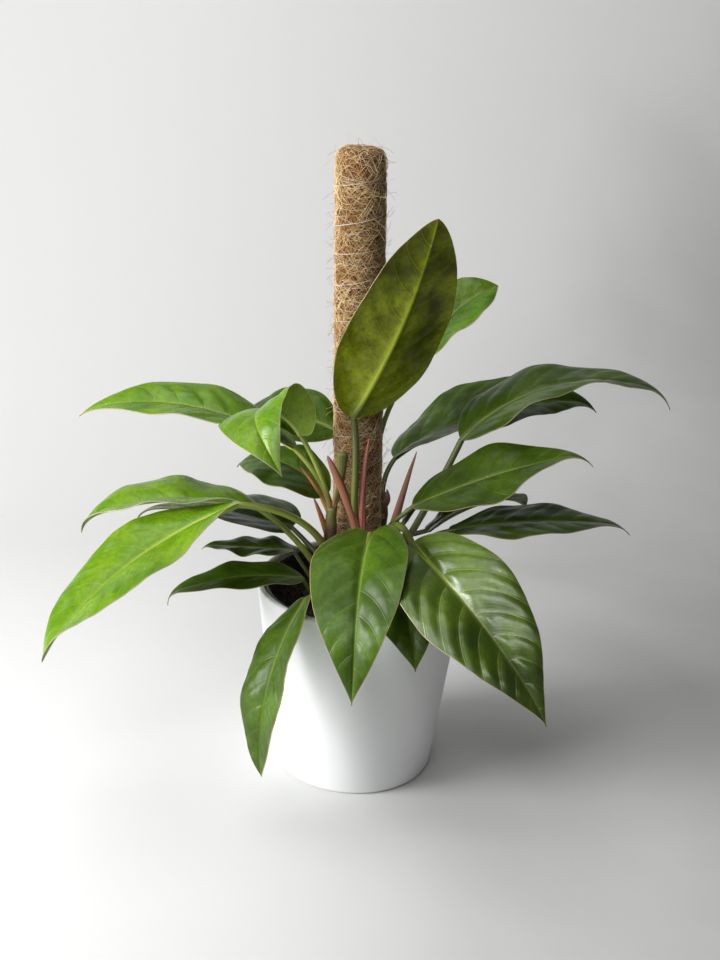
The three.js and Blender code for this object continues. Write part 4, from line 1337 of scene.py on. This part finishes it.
LEAVES = [
    Leaf("leaf_top", (-3, -37, 250), Stalk(140, 8, (219, 310), (69, 108)),
         Blade(215, 344, (55, 80), 0), Shape(49, 0.46, 0.7, -0.04, 4), (-27, -35, -55), 19, (2, 2, 2)),
    Leaf("leaf_front", (0, -45, 236), Stalk(60, 7, (307, 260), (65, 49)),
         Blade(180, 273, (-5, -89), 0), Shape(46, 0.3, 1.3, 0.02, 17), (10, 12, 13), 19, (2, 3, 1.7)),
    Leaf("leaf_front_right", (24, -13, 240), Stalk(95, 8, (282, 292), (87, -28)),
         Blade(225, 343, (-2, -63), 0), Shape(52, 0.42, 1.3, 0.04, 1), (26, 27, 29), 27, (2.5, 3, 0.4)),
    Leaf("leaf_front_low", (4, -45, 190), Stalk(65, 6, (333, 283), (59, 23)),
         Blade(95, 295, (8, -78), 0), Shape(29, 0.38, 1.3, 0.02, 8), (6, 9, 8), 18, (2, 3, 5.1)),
    Leaf("leaf_front_left", (-35, -27, 184), Stalk(70, 6, (267, 242), (55, 5)),
         Blade(190, 244, (-23, -106), 5), Shape(30, 0.46, 1.1, 0, 9), (30, 26, 12), 21, (2, 3, 0.8)),
    Leaf("leaf_left_long", (-33, -28, 238), Stalk(125, 8, (228, 189), (67, 3)),
         Blade(235, 240, (-21, -37), 15), Shape(44, 0.54, 0.7, -0.08, 9), (14, -5, 53), 21, (4, 2, 1.2)),
    Leaf("leaf_left_upper", (-34, -27, 205), Stalk(110, 7, (177, 187), (65, 34)),
         Blade(185, 175, (14, -30), 50), Shape(39, 0.5, 1.1, 0.02, 6), (14, 1, 3), 34, (2, 3, 4.2)),
    Leaf("leaf_left_dark", (-34, -28, 226), Stalk(55, 6, (158, 158), (48, 34)),
         Blade(180, 165, (6, -16), 55), Shape(43, 0.28, 1.2, 0.02, 11), (-14, 11, 1), 21, (2, 3, 5.9)),
    Leaf("leaf_left_slim", (-35, -27, 192), Stalk(60, 4.5, (159, 169), (50, 55)),
         Blade(95, 172, (-3, -5), 45), Shape(21, 0.4, 1.2, -0.02, 8), (-1, -2, -3), 7, (2, 3, 1.6)),
    Leaf("leaf_left_low", (-35, -27, 180), Stalk(45, 5, (208, 197), (48, 66)),
         Blade(145, 183, (14, -27), 70), Shape(23, 0.4, 1.2, -0.02, 3), (-9, -9, -1), 13, (2, 3, 3.3)),
    Leaf("leaf_left_high", (-32, -29, 276), Stalk(85, 6, (173, 169), (84, 38)),
         Blade(225, 173, (29, -21), 20), Shape(37, 0.4, 1.3, 0, 8), (13, -11, -20), 21, (2, 3, 5)),
    Leaf("leaf_left_arched", (-32, -29, 286), Stalk(85, 6, (167, 187), (76, 58)),
         Blade(155, 344, (60, -68), -10), Shape(43, 0.32, 1.4, 0, 7), (34, 32, 42), 16, (2, 3, 0.7)),
    Leaf("leaf_left_shaded", (14, 27, 250), Stalk(110, 6, (165, 172), (70, 58)),
         Blade(130, 140, (20, -40), 20), Shape(38, 0.4, 1.2, 0, 8), (-30, -30, -30), 15, (2, 3, 2.4)),
    Leaf("leaf_back_left_low", (-33, -28, 264), Stalk(40, 6, (150, 152), (103, 53)),
         Blade(115, 148, (44, -36), 20), Shape(38, 0.38, 1.2, -0.2, 4), (-3, -13, -15), 16, (2, 3, 4.1)),
    Leaf("leaf_right", (25, -10, 256), Stalk(60, 5.5, (251, 364), (50, 44)),
         Blade(185, 328, (28, 22), 65), Shape(37, 0.44, 1.4, 0.06, 6), (0, 28, -20), 15, (2, 3, 5.8)),
    Leaf("leaf_right_long", (31, -8, 226), Stalk(145, 8, (-7, 17), (64, 67)),
         Blade(225, -18, (47, -18), 50), Shape(44, 0.36, 1.2, 0, 0), (9, 1, -8), 19, (3, 3, 0)),
    Leaf("leaf_right_dark", (30, -3, 214), Stalk(80, 6, (-20, -6), (68, 18)),
         Blade(185, 11, (18, -12), 40), Shape(34, 0.42, 1.3, 0.02, 8), (0, 5, -7), 8, (2, 3, 3.2)),
    Leaf("leaf_right_high", (16, 24, 280), Stalk(155, 6, (4, 5), (106, 50)),
         Blade(110, 26, (72, 18), 10), Shape(35, 0.54, 0.9, 0, 8), (14, 17, 30), 20, (2, 3, 4.9)),
    Leaf("leaf_back_right", (19, 20, 262), Stalk(65, 6, (128, 23), (79, 50)),
         Blade(230, 8, (34, -8), 40), Shape(48, 0.4, 1.2, 0, 7), (-22, 12, 23), 24, (3, 3, 1)),
    Leaf("leaf_back_right_low", (18, 22, 238), Stalk(50, 6, (-2, 15), (10, 14)),
         Blade(140, 52, (37, -33), 20), Shape(36, 0.4, 1.2, 0, 8), (-18, -24, -19), 17, (2, 3, 2.3)),
    Leaf("leaf_behind_right", (19, 21, 222), Stalk(45, 6, (-25, 44), (64, 47)),
         Blade(115, 70, (49, -66), 20), Shape(35, 0.42, 1.1, 0, 8), (-44, -52, -48), 16, (2, 3, 4)),
]
print(len(LEAVES), "leaves in the table")

# %% [markdown]
# ## Leaf geometry
# A blade is a grid: rows from base to tip, columns from margin to margin. Each point is placed by
# its share of the length and its reach from the midrib. Columns lie closer together at the
# midrib, where the groove is, and one lies just inside the margin, for its pale line. The quilting
# is a height added between the side veins, so it takes the light as the real leaf does; a bump
# texture could not change the outline or the shadows.

# %% Blade formulas
WALK_STEPS = 160
ROW_LENGTH, ROW_POWER = 1.9, 1.2
INNER_COLUMNS, COLUMN_POWER = 22, 1.3
MARGIN_LINE = 0.985
THICKNESS, RIB_DEPTH, LEAST_HALF = 0.7, 2.6, 0.5
CURL, WAVE_LAG = 0.5, 1.9
BASE_POWER, BASE_ROUND, TIP_POWER = 2.2, 0.62, 1.8
LOBE_STRETCH, LOBE_FADE, LOBE_POWER = 0.25, 0.35, 1.5
HOOK_FROM, HOOK_POWER = 0.82, 1.5
VEIN_SPACING, VEIN_LEAN, VEIN_BEND = 25, 0.35, 0.75
QUILT, GROOVE = 0.8, 0.6
QUILT_OF = {"leaf_front_right": 2.1, "leaf_front": 1.1, "leaf_top": 0.9, "leaf_left_high": 1.1}
PUCKER, PUCKER_SIZE, DIMPLE, DIMPLE_SIZE = 1.5, 48, 0.35, 15


def directions(bearing, climb):
    """Unit vectors along a centre line, to its right and up from it, from angles in degrees."""
    bearing, climb = np.radians(bearing), np.radians(climb)
    along = np.stack(
        [np.cos(climb) * np.cos(bearing), np.cos(climb) * np.sin(bearing), np.sin(climb)], -1
    )
    right = np.stack([np.sin(bearing), -np.cos(bearing), np.zeros_like(bearing)], -1)
    return along, right, np.cross(right, along)


def walked(start, length, heading_of, share):
    """Points at shares of a centre line that starts at a point and follows headings."""
    steps = (np.arange(WALK_STEPS) + 0.5) / WALK_STEPS
    pace = directions(*heading_of(steps))[0] * length / WALK_STEPS
    path = np.concatenate([[start], start + np.cumsum(pace, axis=0)])
    at = np.linspace(0, 1, WALK_STEPS + 1)
    return np.stack([np.interp(share, at, path[:, i]) for i in range(3)], -1)


def stalk_heading(leaf, share):
    """The stalk's bearing and climb at shares of its length."""
    return between(leaf.stalk.bearing, share), between(leaf.stalk.climb, share)


def blade_heading(leaf, share):
    """The blade's bearing and climb at shares of its length."""
    bend = leaf.blade.hook * np.clip((share - HOOK_FROM) / (1 - HOOK_FROM), 0, 1) ** HOOK_POWER
    bearing = between((leaf.stalk.bearing[1], leaf.blade.bearing), share)
    return bearing, between(leaf.blade.climb, share) - bend


def width_share(shape, share):
    """Half the blade's width as a share of its most."""
    low = 1 - (1 - np.minimum(share / shape.widest, 1)) ** BASE_POWER
    past = np.clip((share - shape.widest) / (1 - shape.widest), 0, 1)
    return np.where(share < shape.widest, low**BASE_ROUND, (1 - past**TIP_POWER) ** shape.taper)


def stalk_points(leaf, share):
    """Points of the stalk's centre line."""
    start = np.array(leaf.root, float)
    return walked(start, leaf.stalk.length, lambda at: stalk_heading(leaf, at), share)


def blade_frame(leaf, share):
    """The blade's centre line with its directions along, right and up."""
    start = stalk_points(leaf, np.array([1.0]))[0]
    centre = walked(start, leaf.blade.length, lambda at: blade_heading(leaf, at), share)
    return centre, *directions(*blade_heading(leaf, share))


def blade_surface(leaf, share, across):
    """The blade's middle surface as a grid, with the facts that its skin is coloured by."""
    centre, along, right, up = blade_frame(leaf, share)
    rest = 1 - share
    roll = np.radians(
        leaf.roll[0] * rest * (rest - share)
        + 4 * leaf.roll[1] * share * rest
        + leaf.roll[2] * share * (share - rest)
    )[:, None]
    rolled_right = right * np.cos(roll) - up * np.sin(roll)
    rolled_up = up * np.cos(roll) + right * np.sin(roll)

    full = width_share(leaf.shape, share)[:, None]
    reach, side = np.abs(across), np.sign(across)
    half = np.maximum(leaf.shape.half_width * full, LEAST_HALF) * (1 + side * leaf.shape.side)
    width = half * reach
    lift = np.radians(leaf.fold * (1 - CURL * reach))
    height, count, start = leaf.wave
    swing = np.sin(2 * math.pi * count * share[:, None] + start + np.where(across > 0, WAVE_LAG, 0))
    wave = height * reach**2 * full * swing
    near_base = np.clip(1 - share / LOBE_STRETCH, 0, 1)[:, None] ** 2 * np.minimum(1, full / LOBE_FADE)
    back = leaf.shape.lobe * reach**LOBE_POWER * near_base

    spacing = VEIN_SPACING * (0.6 + 0.4 * leaf.blade.length / 225)
    vein = (
        leaf.blade.length * share[:, None] - half * (VEIN_LEAN * reach + VEIN_BEND * reach**2)
    ) / spacing + 0.25 * side
    gap = np.mod(vein, 1)
    rib_half = between((2.2, 0.7), share)[:, None] * leaf.stalk.width / 7
    from_rib = width - rib_half
    quilt_fade = np.clip(from_rib / 5, 0, 1) * np.clip((half - width) / 9 + 0.15, 0, 1)
    quilt_fade = quilt_fade * np.clip(half / 25, 0, 1)
    quilt = QUILT_OF.get(leaf.name, QUILT) * quilt_fade * np.sin(math.pi * gap**0.7)
    groove = -GROOVE * np.exp(-((width / (rib_half + 0.3)) ** 2)) * np.clip(half / 12, 0, 1)
    sheet = np.stack([leaf.blade.length * share[:, None] + 0 * width, side * width, 0 * width], -1)
    seed = len(leaf.name) + round(leaf.blade.length)
    pucker = PUCKER * ripple(sheet, PUCKER_SIZE, seed) + DIMPLE * ripple(sheet, DIMPLE_SIZE, seed + 1)
    pucker = pucker * np.clip(from_rib / 12, 0, 1) * np.clip(half / 30, 0, 1)
    rise = width * np.sin(lift) + wave + pucker

    def place(extra):
        flat = beside(centre, rolled_right, rolled_up, side * width * np.cos(lift), rise + extra)
        return flat - along[:, None, :] * back[..., None]

    edge = np.minimum(half - width, leaf.blade.length * (1 - share[:, None]) * 0.7)
    facts = {
        "vein": vein,
        "edge_mm": edge,
        "rib_mm": from_rib,
        "along": share[:, None] + 0 * width,
        "rib_bump": RIB_DEPTH * (1 - share[:, None]) * np.exp(-((width / (rib_half + 0.8)) ** 2)),
    }
    return place(quilt + groove), place(0.7 * quilt), rolled_up[:, None, :], facts


def sheet_normals(grid):
    """The normal of a grid at each of its points."""
    return unit(np.cross(np.gradient(grid, axis=1), np.gradient(grid, axis=0)) + 1e-9)


columns = (np.arange(1, INNER_COLUMNS + 1) / INNER_COLUMNS) ** COLUMN_POWER
columns = np.sort(np.append(columns, MARGIN_LINE))
ACROSS = np.concatenate([-columns[::-1], [0], columns])
print(len(ACROSS), "columns across each blade")

# %% Stalk formulas
STALK_SIDES, STALK_RINGS, STALK_FOOT, FOOT_STRETCH, COLLAR = 16, 34, 1.35, 0.25, 0.8
# The stalk's end is sunk under the midrib: place along the blade, share of its width, and depth.
SUNK = np.array([(0.07, 0.8, 1.2), (0.14, 0.45, 1.4), (0.19, 0.12, 1.3)])
STALK_GROOVE = 0.16


def stalk_rings(leaf):
    """The stalk as rings of points, from its foot in the stem to its end under the blade."""
    share = np.linspace(0, 1, STALK_RINGS)
    centre = stalk_points(leaf, share)
    _, right, up = directions(*stalk_heading(leaf, share))
    swell = between((STALK_FOOT, 1), np.clip(share / FOOT_STRETCH, 0, 1))
    radius = leaf.stalk.width / 2 * swell * between((1, COLLAR), share)
    at = np.interp(np.linspace(0, 3, 13)[1:], [0, 1, 2, 3], [0, *SUNK[:, 0]])
    thin = np.interp(at, [0, *SUNK[:, 0]], [1, *SUNK[:, 1]])
    depth = np.interp(at, [0, *SUNK[:, 0]], [0, *SUNK[:, 2]])
    sunk_centre, _, sunk_right, sunk_up = blade_frame(leaf, at)
    centre = np.concatenate([centre, sunk_centre - sunk_up * depth[:, None]])
    right = np.concatenate([right, sunk_right])
    up = np.concatenate([up, sunk_up])
    radius = np.concatenate([radius, leaf.stalk.width / 2 * COLLAR * thin])
    turns = full_circle(STALK_SIDES)
    groove = 1 - STALK_GROOVE * np.exp(-(((turns - math.pi / 2) / 0.45) ** 2))
    ring = radius[:, None] * groove
    points = beside(centre, right, up, ring * np.cos(turns), ring * np.sin(turns))
    run = np.concatenate([share - 1.0, np.zeros(len(at))])
    return points, run.repeat(STALK_SIDES)


print("a stalk has", STALK_RINGS + 12, "rings")

# %% Grow the leaves
# Partly age and partly painted light: most leaves on the lit left get the bright look, those on the
# shaded right the dark one.
AGE_AND_LIGHT_TONES = {
    "bright": "left_long left_upper left_high left_arched right_high",
    "mid": "front front_left front_low back_left_low left_shaded left_low",
    "olive": "top front_right",
}
WORN = {"leaf_top": 1.0, "leaf_left_long": 0.8, "leaf_front": 0.6, "leaf_front_right": 0.4}
LEAST_WORN = 0.25
# A stalk holds a distance this far off, in mm, so that no margin or rib is drawn on it.
FAR_OFF = 9
tone_of = {"leaf_" + name: tone for tone, names in AGE_AND_LIGHT_TONES.items() for name in names.split()}


def leaf_piece(leaf):
    """One leaf: its blade's two skins, its rim and its stalk, in one mesh."""
    rows = round(leaf.blade.length / ROW_LENGTH)
    share = (np.arange(rows + 1) / rows) ** ROW_POWER
    top_sheet, under_sheet, lean, facts = blade_surface(leaf, share, ACROSS)
    normal = unit(sheet_normals(top_sheet) + 0.3 * lean)
    normal = np.where((normal * lean).sum(-1, keepdims=True) > 0, normal, lean)
    upper = top_sheet + normal * THICKNESS / 2
    lower = under_sheet - normal * (THICKNESS / 2 + facts["rib_bump"][..., None])
    low_share = ((upper - lower) * normal).sum(-1, keepdims=True)
    lower = lower - normal * np.clip(0.5 - low_share, 0, 2)
    stalk, stalk_run = stalk_rings(leaf)

    count, wide = rows + 1, len(ACROSS)
    under = count * wide
    faces, kinds = [], []
    for i in range(rows):
        for j in range(wide - 1):
            a, b, c, d = i * wide + j, i * wide + j + 1, (i + 1) * wide + j + 1, (i + 1) * wide + j
            faces.append((a, b, c, d))
            faces.append((under + a, under + d, under + c, under + b))
            kinds += [0, 1]
    rim = list(range(wide))
    rim += [i * wide + wide - 1 for i in range(1, count)]
    rim += [rows * wide + j for j in range(wide - 2, -1, -1)]
    rim += [i * wide for i in range(rows - 1, 0, -1)]
    for a, b in zip(rim, rim[1:] + rim[:1]):
        faces.append((a, under + a, under + b, b))
        kinds.append(0)
    blade_points = np.concatenate([upper.reshape(-1, 3), lower.reshape(-1, 3)])
    turned_round = outward(blade_points, faces)
    stalk_points_flat = stalk.reshape(-1, 3)
    tube = outward(stalk_points_flat, tube_faces(len(stalk), STALK_SIDES))
    first = len(blade_points)
    all_faces = turned_round + [tuple(first + k for k in face) for face in tube]
    kinds += [2] * len(tube)
    spare = len(stalk_points_flat)
    on_stalk = {
        "vein": np.zeros(spare),
        "edge_mm": np.full(spare, FAR_OFF),
        "rib_mm": np.full(spare, FAR_OFF),
        "along": stalk_run,
    }
    attributes = {"worn": np.full(first + spare, WORN.get(leaf.name, LEAST_WORN))}
    for label, values in on_stalk.items():
        sheet = (facts[label] + 0 * facts["edge_mm"]).ravel()
        attributes[label] = np.concatenate([sheet, sheet, values])
    tone = tone_of.get(leaf.name, "dark")
    skins = [leaf_skins[tone], under_skins[tone], stalk_skins[tone]]
    points = np.concatenate([blade_points, stalk_points_flat])
    return new_piece(leaf.name + "_skin", points, all_faces, skins, kinds, attributes)


for leaf in LEAVES:
    hand_over(leaf_piece(leaf), "leaf_blade", leaf.name)

# %% [markdown]
# ## Finish
# The box of everything is printed, to set beside the box of the imported solids printed at the
# start, so that one can see whether the fine plant has kept its size.

# %% Print the sizes and finish
fine_low, fine_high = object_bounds()
sizes = {
    "packed": [list(cad_low), list(cad_high)],
    "fine": [list(fine_low), list(fine_high)],
}
print("fine box in mm:", [round(side / MM) for side in fine_high - fine_low])
